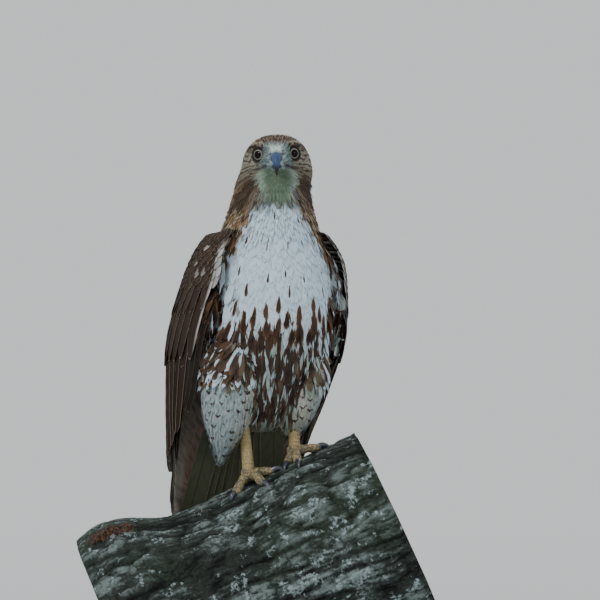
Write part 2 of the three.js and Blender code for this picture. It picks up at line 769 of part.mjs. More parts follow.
// Twelve tail feathers: the middle pair lies on the upper side and each next one under it
function tailVanes() {
  const draw = seededDraw(77);
  const vanes = [];
  for (let k = 0; k < 2 * RECTRIX.pairs; k += 1) {
    const t = ((k + 0.5) / RECTRIX.pairs - 1) * RECTRIX.fan;
    const layer = RECTRIX.pairs - Math.abs(k + 0.5 - RECTRIX.pairs);
    const length = 1 - RECTRIX.shorten * t * t + LENGTH_VARIATION * draw();
    const place = (share, across, height) => {
      const s = THREE.MathUtils.lerp(RECTRIX.rootShare, length, share);
      const half = tailPoint(s, 1).x - TAIL_SIDE;
      const aside = t + across / half;
      const ahead = tailPoint(s + 0.02, aside).sub(tailPoint(s - 0.02, aside));
      const over = tailPoint(s, aside - 0.02).sub(tailPoint(s, aside + 0.02));
      return tailPoint(s, aside).addScaledVector(ahead.cross(over).normalize(), height);
    };
    const lift = (layer - RECTRIX.pairs / 2) * RECTRIX.step;
    vanes.push(vaneSolid(place, {
      width: RECTRIX.width,
      root: lift,
      lift,
      roll: Math.sign(t) * RECTRIX.roll,
      rows: RECTRIX_ROWS,
    }));
  }
  return vanes;
}

// Legs

function sweep(points, radii, sides) {
  const curve = new THREE.CatmullRomCurve3(points, false, "centripetal");
  const count = points.length - 1;
  const rings = [];
  const up = new THREE.Vector3(0.13, 0.21, 0.97).normalize();
  for (let r = 0; r <= count; r += 1) {
    const ahead = curve.getTangent(r / count);
    const across = ahead.clone().cross(up).normalize();
    const over = across.clone().cross(ahead);
    rings.push(Array.from({ length: sides }, (_, i) => {
      const angle = (2 * Math.PI * i) / sides;
      return points[r].clone()
        .addScaledVector(across, radii[r] * Math.cos(angle))
        .addScaledVector(over, radii[r] * Math.sin(angle));
    }));
  }
  return solidOf(loft(rings));
}

function shankSolid(leg, grow) {
  const { side, ankleSide, forward } = LEG[leg];
  const rings = [];
  const steps = 6;
  for (let r = 0; r <= steps; r += 1) {
    const t = r / steps;
    const radius = SHANK_RADIUS + grow + 1.4 * (2 * t - 1) ** 2;
    const x = THREE.MathUtils.lerp(side, ankleSide, t);
    const y = THREE.MathUtils.lerp(forward, 6, t ** 1.6);
    const z = THREE.MathUtils.lerp(limbTopAt(side, forward) + FOOT_RISE, HOCK_HEIGHT, t);
    rings.push(Array.from({ length: 10 }, (_, i) => {
      const angle = (2 * Math.PI * i) / 10;
      return new THREE.Vector3(x + radius * Math.cos(angle), y + 1.15 * radius * Math.sin(angle), z);
    }));
  }
  return solidOf(loft(rings));
}

// A toe's joints from the ball of the foot to the root of its talon, on the limb's surface
function toePoints(leg, toe) {
  const { side, forward } = LEG[leg];
  const turn = THREE.MathUtils.degToRad(toe.turn);
  const ahead = new THREE.Vector3(Math.sin(turn), -Math.cos(turn), 0);
  const steps = 6;
  return Array.from({ length: steps + 1 }, (_, i) => {
    const t = i / steps;
    const point = new THREE.Vector3(side, forward, 0).addScaledVector(ahead, toe.length * t);
    const arch = FOOT_RISE * (1 - t) ** 2 + TOE_ARCH * Math.sin(Math.PI * t);
    point.z = limbTopAt(point.x, point.y) + TOE_RADIUS - 1 + arch - TOE_ARCH * t;
    return point;
  });
}

function toeRadii(count) {
  const pads = [1.12, 0.98, 1.08, 0.9, 0.98, 0.82, 0.7];
  return pads.slice(0, count).map((share) => share * TOE_RADIUS);
}

function footSolid(leg) {
  const { side, forward } = LEG[leg];
  const ball = new THREE.SphereGeometry(1, 12, 8);
  ball.scale(SHANK_RADIUS + 4, SHANK_RADIUS + 3.5, SHANK_RADIUS + 0.5);
  ball.translate(side, forward, limbTopAt(side, forward) + SHANK_RADIUS + FOOT_RISE);
  const cut = limbTopAt(side, forward) + SHANK_CUT;
  const stub = shankSolid(leg, 0).subtract(above(cut - GAP / 2));
  const toes = TOES[leg].map((toe) => {
    const points = toePoints(leg, toe);
    return sweep(points, toeRadii(points.length), 8);
  });
  return union([solidOf(ball), stub, ...toes]).subtract(limbInBird(GAP));
}

// A talon curves on from its toe and down to the bark
function talonSolid(leg, toe) {
  const points = toePoints(leg, toe);
  const root = points[points.length - 1];
  const ahead = root.clone().sub(points[points.length - 2]).normalize();
  const steps = 5;
  const flat = ahead.clone().setZ(0).normalize();
  const pitch = Math.atan2(ahead.z, Math.hypot(ahead.x, ahead.y));
  const line = [];
  const place = root.clone().addScaledVector(ahead, GAP);
  for (let i = 0; i <= steps; i += 1) {
    line.push(place.clone());
    const bend = pitch + 0.35 - 1.75 * (i / steps);
    place.addScaledVector(flat, (Math.cos(bend) * toe.talon) / steps);
    place.z += (Math.sin(bend) * toe.talon) / steps;
  }
  line[0] = root.clone().addScaledVector(ahead, GAP);
  const radii = line.map((_, i) => Math.max(0.35, TALON_RADIUS * (1 - i / steps) ** 0.75));
  const toeEnd = sweep([...points.slice(-3), root.clone().addScaledVector(ahead, GAP)],
    [...toeRadii(7).slice(-3), 0.7 * TOE_RADIUS], 8);
  return sweep(line, radii, 6).subtract(limbInBird(GAP)).subtract(toeEnd);
}

// Display stand

function standBase() {
  const shape = new THREE.Shape();
  const [w, d, c] = [BASE_LENGTH / 2, BASE_DEPTH / 2, BASE_CORNER];
  shape.moveTo(-w + c, -d);
  shape.lineTo(w - c, -d);
  shape.absarc(w - c, -d + c, c, -Math.PI / 2, 0);
  shape.lineTo(w, d - c);
  shape.absarc(w - c, d - c, c, 0, Math.PI / 2);
  shape.lineTo(-w + c, d);
  shape.absarc(-w + c, d - c, c, Math.PI / 2, Math.PI);
  shape.lineTo(-w, -d + c);
  shape.absarc(-w + c, -d + c, c, Math.PI, 1.5 * Math.PI);
  const options = { depth: BASE_THICKNESS, bevelEnabled: false, curveSegments: 6 };
  return solidOf(new THREE.ExtrudeGeometry(shape, options));
}

function rodTop(x) {
  const underside = LIMB_CENTRE_HEIGHT + x * Math.tan(LIMB_SLOPE) - LIMB_RADIUS / Math.cos(LIMB_SLOPE);
  return underside + ROD_SEAT_DEPTH;
}

function rodSolid(x, grow) {
  const bottom = BASE_THICKNESS + GAP - grow;
  const top = rodTop(x) + grow;
  const rod = new THREE.CylinderGeometry(ROD_RADIUS + grow, ROD_RADIUS + grow, top - bottom, 20);
  rod.rotateX(Math.PI / 2);
  rod.translate(x, 0, (top + bottom) / 2);
  return solidOf(rod);
}

// Assembly

const hawk = new THREE.Group();

const stand = new THREE.Group();
stand.add(meshOf("stand_base", standBase(), "stand"));
let perch = limbSolid(0);
for (const [name, x] of Object.entries(ROD_PLACES)) {
  stand.add(meshOf(name, rodSolid(x, 0), "rod"));
  perch = perch.subtract(rodSolid(x, GAP));
}
stand.add(meshOf("perch_limb", perch, "bark"));
hawk.add(stand);

const bird = new THREE.Group();
bird.position.copy(FEET_PLACE);
bird.rotation.set(0, BODY_ROLL, BODY_YAW, "ZYX");
hawk.add(bird);

const body = bodySolid(0);
const bodyClear = bodySolid(GAP);
const headClear = moved(headSolid(GAP).add(billLoft(LOWER_BILL, GAP)), headPose);
bird.add(meshOf("torso", body.subtract(above(NECK_CUT_HEIGHT - GAP / 2)), "flank"));
bird.add(meshOf("neck", body.intersect(above(NECK_CUT_HEIGHT + GAP / 2)).subtract(headClear), "head"));

const head = new THREE.Group();
headPose.decompose(head.position, head.quaternion, head.scale);
head.add(meshOf("head", headWithFace(), "head"));
head.add(meshOf("bill_upper", upperBill(), "bill"));
head.add(meshOf("bill_lower", lowerBill(), "bill"));
head.add(meshOf("eye_left", eyeSolid(1, 0), "eye"));
head.add(meshOf("eye_right", eyeSolid(-1, 0), "eye"));
bird.add(head);

const thighsClear = union([thighSolid("thigh_left", GAP), thighSolid("thigh_right", GAP)]);
for (const leg of ["left", "right"]) {
  const thigh = thighSolid(`thigh_${leg}`, 0).subtract(bodyClear);
  bird.add(meshOf(`thigh_${leg}`, thigh, "flank"));
  const cut = limbTopAt(LEG[leg].side, LEG[leg].forward) + SHANK_CUT;
  const shank = shankSolid(leg, 0)
    .intersect(above(cut + GAP / 2))
    .subtract(thighSolid(`thigh_${leg}`, GAP))
    .subtract(bodyClear);
  bird.add(meshOf(`shank_${leg}`, shank, "shank"));
  bird.add(meshOf(`foot_${leg}`, footSolid(leg), "shank"));
  for (const toe of TOES[leg]) {
    bird.add(meshOf(`talon_${leg}_${toe.name}`, talonSolid(leg, toe), "talon"));
  }
}

const wingTaken = bodyClear.add(thighsClear).add(headClear);
for (const name of ["wing_left", "wing_right"]) {
  bird.add(meshOf(name, wingSolid(name).subtract(wingTaken), "brown"));
}
bird.add(meshOf("tail", union([tailCore(TAIL_CORE_END, 4), ...tailVanes()]).subtract(bodyClear), "tail"));

export default hawk;
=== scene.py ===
"""A life-size red-tailed hawk on a cut length of limb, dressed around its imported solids.

Lengths in the tables are millimetres. The bird is shaped in a frame of its own that faces -Y, with its
origin between the feet, and the head in a second frame whose origin lies between the eyes.
"""
import math

import bpy
import numpy as np
from mathutils import Matrix, Vector
from mathutils.bvhtree import BVHTree
from mathutils.kdtree import KDTree


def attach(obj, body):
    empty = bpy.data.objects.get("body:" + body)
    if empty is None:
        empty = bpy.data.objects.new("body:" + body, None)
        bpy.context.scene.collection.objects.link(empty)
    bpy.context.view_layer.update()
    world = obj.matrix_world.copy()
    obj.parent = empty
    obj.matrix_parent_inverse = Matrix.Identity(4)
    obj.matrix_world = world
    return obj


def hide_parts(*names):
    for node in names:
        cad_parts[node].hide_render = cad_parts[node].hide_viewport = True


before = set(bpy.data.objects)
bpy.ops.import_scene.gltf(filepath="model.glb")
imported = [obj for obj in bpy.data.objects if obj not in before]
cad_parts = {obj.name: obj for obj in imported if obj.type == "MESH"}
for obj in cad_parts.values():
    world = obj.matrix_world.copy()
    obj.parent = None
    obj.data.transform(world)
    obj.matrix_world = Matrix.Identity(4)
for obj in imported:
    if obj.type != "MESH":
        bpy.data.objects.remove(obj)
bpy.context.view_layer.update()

MM = 0.001
rng = np.random.default_rng(20)

# Poses of the bird and of its head

FEET_PLACE = Vector((4, -8, 420))
BODY_YAW = math.radians(21)
BODY_ROLL = math.radians(0.6)
HEAD_PLACE = Vector((2, -14, 402))
HEAD_YAW = math.radians(-21)
HEAD_ROLL = math.radians(-2.7)
HEAD_PITCH = math.radians(6)


def pose(place, pitch, roll, yaw):
    turn = Matrix.Rotation(yaw, 4, "Z") @ Matrix.Rotation(roll, 4, "Y") @ Matrix.Rotation(pitch, 4, "X")
    return Matrix.Translation(place) @ turn


BIRD = np.array(pose(FEET_PLACE, 0, BODY_ROLL, BODY_YAW))
HEAD = np.array(pose(HEAD_PLACE, HEAD_PITCH, HEAD_ROLL, HEAD_YAW))


def moved(points, matrix):
    return points @ matrix[:3, :3].T + matrix[:3, 3]


def turned(vectors, matrix):
    return vectors @ matrix[:3, :3].T


def world_from_bird(points):
    return moved(points, BIRD) * MM


def bird_from_world(points):
    return moved(points / MM, np.linalg.inv(BIRD))


def head_from_bird(points):
    return moved(points, np.linalg.inv(HEAD))


def unit(vectors):
    return vectors / np.maximum(np.linalg.norm(vectors, axis=-1, keepdims=True), 1e-9)


def smoothstep(low, high, value):
    t = np.clip((value - low) / (high - low), 0, 1)
    return t * t * (3 - 2 * t)


def bell(value, centre, width):
    """1 at the centre, falling off softly over the width."""
    return np.exp(-((value - centre) / width) ** 2)


def circle(count):
    return np.arange(count) * 2 * math.pi / count


def stack(*values):
    """Columns of a table of points."""
    return np.stack(values, axis=1)


def grid(down, across):
    """Every pair of two rows of values, as two flat lists."""
    return np.repeat(down, len(across)), np.tile(across, len(down))


def mix(a, b, share):
    share = np.asarray(share)[..., None]
    return np.asarray(a) * (1 - share) + np.asarray(b) * share


# Curves through named stations, centripetal as in the solids

def spline(points, t):
    """Places on a smooth curve through the points, where t runs from 0 to 1."""
    points = np.asarray(points, float)
    last = len(points) - 1
    place = np.clip(t, 0, 1) * last
    cell = np.minimum(np.floor(place).astype(int), last - 1)
    part = (place - cell)[:, None]
    before = np.vstack([2 * points[0] - points[1], points, 2 * points[-1] - points[-2]])
    p0, p1, p2, p3 = (before[cell + k] for k in range(4))
    d0, d1, d2 = (
        np.maximum(np.linalg.norm(b - a, axis=1, keepdims=True), 1e-4) ** 0.5
        for a, b in ((p0, p1), (p1, p2), (p2, p3))
    )
    m1 = d1 * ((p1 - p0) / d0 - (p2 - p0) / (d0 + d1) + (p2 - p1) / d1)
    m2 = d1 * ((p2 - p1) / d1 - (p3 - p1) / (d1 + d2) + (p3 - p2) / d2)
    c2 = 3 * (p2 - p1) - 2 * m1 - m2
    c3 = 2 * (p1 - p2) + m1 + m2
    return p1 + part * (m1 + part * (c2 + part * c3))


# Meshes from arrays

def mesh_object(name, points, faces):
    """An object from points in metres and an array of quads or triangles."""
    mesh = bpy.data.meshes.new(name)
    faces = np.asarray(faces, np.int32)
    mesh.vertices.add(len(points))
    mesh.vertices.foreach_set("co", np.asarray(points, np.float32).ravel())
    mesh.loops.add(faces.size)
    mesh.loops.foreach_set("vertex_index", faces.ravel())
    mesh.polygons.add(len(faces))
    mesh.polygons.foreach_set("loop_start", np.arange(len(faces), dtype=np.int32) * faces.shape[1])
    mesh.polygons.foreach_set("use_smooth", np.full(len(faces), True))
    mesh.update(calc_edges=True)
    mesh.validate()
    piece = bpy.data.objects.new(name, mesh)
    bpy.context.scene.collection.objects.link(piece)
    return piece


def set_vectors(piece, name, values):
    layer = piece.data.attributes.new(name, "FLOAT_VECTOR", "POINT")
    layer.data.foreach_set("vector", np.asarray(values, np.float32).ravel())


def set_colours(piece, name, values):
    layer = piece.data.attributes.new(name, "FLOAT_COLOR", "POINT")
    rgba = np.ones((len(values), 4), np.float32)
    rgba[:, :3] = values
    layer.data.foreach_set("color", rgba.ravel())


def grid_faces(rows, columns, closed=False):
    """Quads of a grid of points, whose columns may close into a ring."""
    r, c = np.meshgrid(np.arange(rows - 1), np.arange(columns if closed else columns - 1), indexing="ij")
    here, above, right = r * columns, (r + 1) * columns, (c + 1) % columns
    return np.stack([here + c, here + right, above + right, above + c], axis=-1).reshape(-1, 4)


def loops_round(line, across, over, reach_across, reach_over):
    """A ring of points round each point of a line, from how far each ring reaches either way."""
    return line[:, None] + across[:, None] * reach_across[..., None] + over[:, None] * reach_over[..., None]


def closed_tube(rings):
    """Points and quads of a tube through rings of points; each end closes on the middle of its ring."""
    rows, sides = rings.shape[:2]
    hubs = rings[[0, -1]].mean(axis=1, keepdims=True).repeat(sides, axis=1)
    points = np.concatenate([hubs[:1], rings, hubs[1:]])
    return points.reshape(-1, 3), grid_faces(rows + 2, sides, closed=True)


def joined(parts):
    """One list of points and faces from several."""
    points, faces, start = [], [], 0
    for part_points, part_faces in parts:
        points.append(part_points)
        faces.append(part_faces + start)
        start += len(part_points)
    return np.vstack(points), np.vstack(faces)


# Materials

class Nodes:
    """A small helper that adds shader nodes and links them."""

    def __init__(self, name):
        self.material = bpy.data.materials.new(name)
        self.material.use_nodes = True
        self.tree = self.material.node_tree
        self.shader = self.tree.nodes["Principled BSDF"]

    def add(self, kind, **settings):
        node = self.tree.nodes.new(kind)
        for key, value in settings.items():
            setattr(node, key, value)
        return node

    def feed(self, socket, value):
        if isinstance(value, bpy.types.NodeSocket):
            self.tree.links.new(value, socket)
        else:
            socket.default_value = value

    def vector_of(self, name):
        return self.add("ShaderNodeAttribute", attribute_name=name).outputs["Vector"]

    def colour_of(self, name):
        return self.add("ShaderNodeAttribute", attribute_name=name).outputs["Color"]

    def parts(self, vector):
        node = self.add("ShaderNodeSeparateXYZ")
        self.feed(node.inputs[0], vector)
        return node.outputs

    def parts_of(self, name):
        return self.parts(self.vector_of(name))

    def vector(self, x, y, z):
        node = self.add("ShaderNodeCombineXYZ")
        for socket, value in zip(node.inputs, (x, y, z)):
            self.feed(socket, value)
        return node.outputs[0]

    def math(self, operation, a, b=0.0, c=0.0):
        node = self.add("ShaderNodeMath", operation=operation)
        for socket, value in zip(node.inputs, (a, b, c)):
            self.feed(socket, value)
        return node.outputs[0]

    def times(self, a, b):
        return self.math("MULTIPLY", a, b)

    def scaled(self, value, factor, offset):
        return self.math("MULTIPLY_ADD", value, factor, offset)

    def ramp(self, value, low, high, to_low=0.0, to_high=1.0):
        node = self.add("ShaderNodeMapRange", interpolation_type="SMOOTHSTEP")
        for key, item in (("Value", value), ("From Min", low), ("From Max", high),
                          ("To Min", to_low), ("To Max", to_high)):
            self.feed(node.inputs[key], item)
        return node.outputs["Result"]

    def blend(self, share, a, b, mode="MIX"):
        node = self.add("ShaderNodeMix", data_type="RGBA", blend_type=mode)
        self.feed(node.inputs[0], share)
        self.feed(node.inputs[6], a)
        self.feed(node.inputs[7], b)
        return node.outputs[2]

    def shaded(self, colour, shade):
        return self.blend(1.0, colour, self.vector(shade, shade, shade), "MULTIPLY")

    def place(self):
        return self.add("ShaderNodeTexCoord").outputs["Object"]

    def stretched(self, scale, vector=None):
        node = self.add("ShaderNodeMapping")
        self.feed(node.inputs["Vector"], vector or self.place())
        node.inputs["Scale"].default_value = scale
        return node.outputs[0]

    def noise(self, vector, scale, detail=3.0, roughness=0.55, distortion=0.0):
        node = self.add("ShaderNodeTexNoise")
        self.feed(node.inputs["Vector"], vector)
        settings = {"Scale": scale, "Detail": detail, "Roughness": roughness, "Distortion": distortion}
        for key, item in settings.items():
            node.inputs[key].default_value = item
        return node.outputs["Fac"]

    def cells(self, vector, scale):
        node = self.add("ShaderNodeTexVoronoi", feature="DISTANCE_TO_EDGE")
        self.feed(node.inputs["Vector"], vector)
        node.inputs["Scale"].default_value = scale
        return node.outputs["Distance"]

    def bump(self, height, strength, distance):
        node = self.add("ShaderNodeBump")
        node.inputs["Strength"].default_value = strength
        node.inputs["Distance"].default_value = distance
        self.feed(node.inputs["Height"], height)
        self.feed(self.shader.inputs["Normal"], node.outputs[0])

    def finish(self, colour, roughness, **sockets):
        self.feed(self.shader.inputs["Base Color"], colour)
        self.feed(self.shader.inputs["Roughness"], roughness)
        for key, value in sockets.items():
            self.feed(self.shader.inputs[key.replace("_", " ")], value)
        return self.material


def rgb(r, g, b):
    return (r, g, b, 1.0)


PALE_EDGE = rgb(0.42, 0.33, 0.24)


def drop_colours(n, base, ragged):
    """Lays the dark drops over a colour: rufous brown at the rim and darker inside."""
    value, shade, dull = n.parts_of("drop")
    rim = n.math("ADD", value, ragged)
    inside = n.times(n.ramp(rim, 0.05, 0.6), shade)
    mark = n.blend(inside, rgb(0.105, 0.052, 0.028), rgb(0.021, 0.012, 0.009))
    mark = n.blend(dull, mark, rgb(0.050, 0.038, 0.029))
    return n.blend(n.ramp(rim, -0.06, 0.10), base, mark)


def feather_material(name, barbs, bump):
    """Feathers carry their own colours and marks; the shader draws barbs, mark, shaft and pale edge."""
    n = Nodes(name)
    u, v, chance = n.parts_of("vane")
    width, centre, length = n.parts_of("mark_shape")
    strength, vee, edge = n.parts_of("mark_look")
    aside = n.math("ABSOLUTE", u)
    slant = n.scaled(aside, -0.42, v)
    streak = n.noise(n.vector(n.times(slant, barbs), n.times(chance, 37.0), n.times(u, 0.8)), 1.0, 2.0, 0.6)
    fine = n.math("SINE", n.times(slant, barbs * 7.0))
    # Mark: an ellipse about the shaft, or a V where vee is above 0, with a frayed border
    along = n.math("DIVIDE", n.math("SUBTRACT", n.scaled(aside, vee, v), centre), length)
    across = n.math("DIVIDE", aside, width)
    reach = n.math("ADD", n.times(along, along), n.times(across, across))
    frayed = n.scaled(n.math("SUBTRACT", streak, 0.5), 0.9, reach)
    mark = n.times(n.ramp(frayed, 1.25, 0.75), strength)
    base = n.blend(mark, n.colour_of("tint"), n.colour_of("mark_tint"))
    base = drop_colours(n, base, n.scaled(streak, 0.5, -0.25))
    # Pale edge along the sides and the tip
    tip = n.math("MAXIMUM", n.math("POWER", aside, 3.0), n.math("POWER", n.math("MAXIMUM", v, 0.0), 9.0))
    base = n.blend(n.times(n.ramp(tip, 0.6, 0.95), edge), base, PALE_EDGE)
    shade = n.scaled(streak, 0.5, n.scaled(fine, 0.035, 0.75))
    shaft = n.ramp(aside, 0.0, 0.07, 0.8, 1.0)
    shade = n.times(shade, shaft)
    base = n.shaded(base, shade)
    n.bump(n.scaled(fine, 0.4, streak), bump, 0.0006)
    return n.finish(base, n.ramp(streak, 0.3, 0.7, 0.62, 0.82), Specular_IOR_Level=0.12)


# Wings: sections from the shoulder to the tip, given as the leading edge, the crest of the outer face
# and the trailing edge, as [side, back, up]

WING_STATIONS = {
    "wing_left": [
        ((58, -36, 304), (76, 12, 300), (38, 64, 302)),
        ((82, -42, 264), (95, 20, 264), (36, 76, 262)),
        ((90, -40, 224), (103, 32, 224), (34, 88, 215)),
        ((95, -26, 160), (105, 50, 158), (28, 100, 155)),
        ((86, 24, 90), (98, 82, 79), (26, 113, 80)),
        ((76, 80, 34), (91, 106, 26), (32, 126, 30)),
        ((80, 122, -22), (88, 133, -30), (48, 145, -28)),
        ((84, 147, -72), (87, 150, -74), (74, 154, -72)),
    ],
    "wing_right": [
        ((66, -36, 302), (80, 18, 298), (38, 64, 302)),
        ((82, -43, 264), (98, 30, 264), (36, 76, 262)),
        ((88, -45, 224), (107, 50, 224), (34, 88, 215)),
        ((97, -28, 160), (116, 72, 158), (29, 101, 155)),
        ((88, 24, 84), (110, 95, 79), (27, 114, 80)),
        ((82, 74, 26), (103, 110, 26), (32, 126, 30)),
        ((85, 122, -26), (94, 131, -34), (50, 145, -28)),
        ((88, 146, -78), (90, 149, -80), (77, 153, -78)),
    ],
}
SIDES = {"wing_left": 1, "wing_right": -1}


class WingFace:
    """The outer face of a folded wing: s runs down it and t from the leading to the trailing edge."""

    def __init__(self, name):
        self.side = SIDES[name]
        self.curves = np.array(WING_STATIONS[name], float).transpose(1, 0, 2)

    def point(self, s, t):
        lead, crest, trail = (spline(curve, s) for curve in self.curves)
        t = np.asarray(t)[:, None]
        place = lead * (2 * t * t - 3 * t + 1) + crest * (4 * t - 4 * t * t) + trail * (2 * t * t - t)
        place[:, 0] *= self.side
        return place

    def outward(self, s, t):
        step = 0.01
        along = self.point(np.minimum(1, s + step), t) - self.point(np.maximum(0, s - step), t)
        across = self.point(s, t + step) - self.point(s, t - step)
        return unit(np.cross(along, across)) * self.side

    def aside(self, s, t, distance, reach):
        """A point at a distance across the face; beyond the reach the face runs on straight."""
        step = 0.01
        spread = np.linalg.norm(self.point(s, t + step) - self.point(s, t - step), axis=1) / (2 * step)
        wanted = t + distance / spread
        inside = np.clip(wanted, reach, 1 - reach)
        tangent = (self.point(s, inside + step) - self.point(s, inside - step)) / (2 * step)
        return self.point(s, inside) + tangent * (wanted - inside)[:, None], self.outward(s, inside)


# Tail

TAIL_LINE = ((56, 106), (84, 70), (108, 16), (130, -48), (144, -96))
TAIL_SIDE = -2
TAIL_CUP = 7
TAIL_LIFT = 10
TAIL_SPREAD_BASE = 30
TAIL_SPREAD_TIP = 84


def tail_point(s, t):
    line = spline(TAIL_LINE, np.minimum(1, s))
    half = TAIL_SPREAD_BASE + (TAIL_SPREAD_TIP - TAIL_SPREAD_BASE) * np.maximum(s, 0) ** 0.8
    return stack(TAIL_SIDE + half * t, line[:, 0] - TAIL_CUP * t * t, line[:, 1] + TAIL_LIFT * s * t * t)


def tail_outward(s, t):
    step = 0.02
    ahead = tail_point(s + step, t) - tail_point(s - step, t)
    over = tail_point(s, t - step) - tail_point(s, t + step)
    return unit(np.cross(ahead, over))


# Skin: the solids of the flesh and plain wing bodies, melted into one surface and drawn in

FLESH = ("torso", "neck", "head", "thigh_left", "thigh_right")
SKIN_VOXEL = 0.0026
SOFTEN_SHARE = 0.6
SOFTEN_TIMES = 9
COAT_DEPTH = 2.6
FACE_DEPTH = 1.6
FACE_HEIGHTS = (352, 380)
WING_BODY_END = 0.5
TAIL_BODY_END = 0.42
WING_BODY_LEVEL = -7.0
WING_BODY_THIN = 6
WING_BODY_FLESH = 32
WING_BODY_TAPER = 0.45
TAIL_BODY_HALF = 9
TAIL_BODY_TAPER = 12


def wing_body(name):
    """The fleshy part of a wing under its coverts."""
    face = WingFace(name)
    rows, columns = 14, 13
    s, t = grid(np.linspace(0, WING_BODY_END, rows), np.linspace(0, 1, columns))
    out = face.outward(s, t)
    outer = face.point(s, t) + out * WING_BODY_LEVEL
    depth = WING_BODY_THIN + WING_BODY_FLESH * np.maximum(0, 1 - s / WING_BODY_TAPER) ** 0.7
    inner = outer - out * (1 + depth * np.sin(np.pi * t) ** 0.6)[:, None]
    return closed_shell(outer, inner, rows)


def closed_shell(outer, inner, rows):
    """A body between an outer and an inner sheet of points."""
    outer, inner = outer.reshape(rows, -1, 3), inner.reshape(rows, -1, 3)
    return closed_tube(np.concatenate([outer, inner[:, ::-1]], axis=1))


def tail_body():
    """The fleshy root of the tail."""
    rows, columns = 8, 11
    s, t = grid(np.linspace(0, TAIL_BODY_END, rows), np.linspace(-1, 1, columns))
    half = (TAIL_BODY_HALF - TAIL_BODY_TAPER * s) * (1 - 0.5 * t * t)
    thickness = tail_outward(s, t) * half[:, None]
    return closed_shell(tail_point(s, t) + thickness, tail_point(s, t) - thickness, rows)


def read_array(items, field, kind=np.float32):
    """A field of a mesh's vertices or triangles, as rows of three."""
    values = np.empty(len(items) * 3, kind)
    items.foreach_get(field, values)
    return values.reshape(-1, 3)


def mesh_triangles(mesh):
    mesh.calc_loop_triangles()
    return read_array(mesh.loop_triangles, "vertices", np.int32)


def mesh_arrays(mesh):
    """The places and the normals of a mesh's vertices."""
    return read_array(mesh.vertices, "co").astype(float), read_array(mesh.vertices, "normal").astype(float)


def halved(quads):
    return np.vstack([quads[:, [0, 1, 2]], quads[:, [0, 2, 3]]])


def melted_skin():
    """The skin under the coat, drawn in from the solids by the coat's depth, which is less on the face."""
    flesh = [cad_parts[name].data for name in FLESH]
    bodies = [wing_body(name) for name in WING_STATIONS] + [tail_body()]
    parts = [(mesh_arrays(mesh)[0], mesh_triangles(mesh)) for mesh in flesh]
    parts += [(world_from_bird(points), halved(quads)) for points, quads in bodies]
    points, faces = joined(parts)
    rough = mesh_object("rough_skin", points, faces)
    remesh = rough.modifiers.new("remesh", "REMESH")
    remesh.mode = "VOXEL"
    remesh.voxel_size = SKIN_VOXEL
    soften = rough.modifiers.new("soften", "SMOOTH")
    soften.factor = SOFTEN_SHARE
    soften.iterations = SOFTEN_TIMES
    graph = bpy.context.evaluated_depsgraph_get()
    mesh = bpy.data.meshes.new_from_object(rough.evaluated_get(graph))
    bpy.data.objects.remove(rough)
    place, normal = mesh_arrays(mesh)
    bird = bird_from_world(place)
    depth = COAT_DEPTH + (FACE_DEPTH - COAT_DEPTH) * smoothstep(*FACE_HEIGHTS, bird[:, 2])
    mesh.vertices.foreach_set("co", (place - normal * depth[:, None] * MM).astype(np.float32).ravel())
    mesh.update()
    skin = bpy.data.objects.new("skin", mesh)
    bpy.context.scene.collection.objects.link(skin)
    mesh.polygons.foreach_set("use_smooth", np.full(len(mesh.polygons), True))
    return skin


# Markings, by place on the bird

# White of the feathers, with a blue cast that is painted cool skylight
WHITE_SKYLIT_BLUE = np.array((0.49, 0.62, 0.71))
CREAM = np.array((0.46, 0.41, 0.31))
# The throat's white, painted dark and greenish: painted shade and green reflected light, less at its sides
THROAT_GREEN_SHADE = np.array((0.115, 0.165, 0.115))
THROAT_SIDE_GREEN_LIT = np.array((0.27, 0.34, 0.28))
GOLDEN = np.array((0.24, 0.165, 0.085))
RUFOUS = np.array((0.22, 0.112, 0.052))
# Lower belly white in painted shade and green reflected light
OLIVE_WHITE_SHADED = np.array((0.185, 0.22, 0.175))
DARK_OLIVE = np.array((0.085, 0.070, 0.045))
CROWN = np.array((0.036, 0.024, 0.018))
BUFF = np.array((0.29, 0.235, 0.175))
CHEEK = np.array((0.27, 0.27, 0.215))
CHEEK_STREAK = np.array((0.048, 0.038, 0.028))
FOREHEAD = np.array((0.34, 0.43, 0.43))
LORE = np.array((0.16, 0.215, 0.215))
PATCH = np.array((0.60, 0.72, 0.69))
BROW_PALE = np.array((0.37, 0.33, 0.26))
BROWN = np.array((0.070, 0.043, 0.028))
DARK = np.array((0.026, 0.016, 0.012))
# Thigh white, darkened and blued: painted shade and cool skylight
THIGH_SHADED_BLUE = np.array((0.28, 0.345, 0.355))
VENT = np.array((0.30, 0.30, 0.22))
LINING_PALE = np.array((0.46, 0.52, 0.52))

BODY_AXIS = 4
THIGH_TOP = 106

# Spots of the flank: millimetres for a radian of their wave, and millimetres of skin for a degree of turn
SPOT_PITCH = 7.4
SPOT_TURN = 1.35

# The throat's half width at levels of the head, from its lower end up to the bill
THROAT_LEVELS = (-60, -52, -44, -33, -20, -14)
THROAT_HALVES = (4, 12, 20, 27, 19, 12)

# How far round the body the white runs at heights, and where the middle of the breast lies as the neck turns
WHITE_HEIGHTS = (40, 200, 262, 300, 330, 352)
WHITE_TURNS = (100, 84, 66, 45, 32, 30)
NECK_HEIGHTS = (255, 320, 370)
NECK_TURNS = (0, -8, -21)


def round_body(bird):
    """The turn about the body's upright axis, 0 at the front and growing to the bird's left."""
    return np.arctan2(bird[:, 0], -(bird[:, 1] - BODY_AXIS))


def body_turn(bird):
    """Degrees round the body from the middle of the breast, which turns with the neck higher up."""
    turn = np.degrees(round_body(bird))
    centre = np.interp(bird[:, 2], NECK_HEIGHTS, NECK_TURNS)
    return np.abs((turn - centre + 180) % 360 - 180)


def half_white(z):
    """How far round, in degrees, the white of the breast and belly runs at a height."""
    return np.interp(z, WHITE_HEIGHTS, WHITE_TURNS)


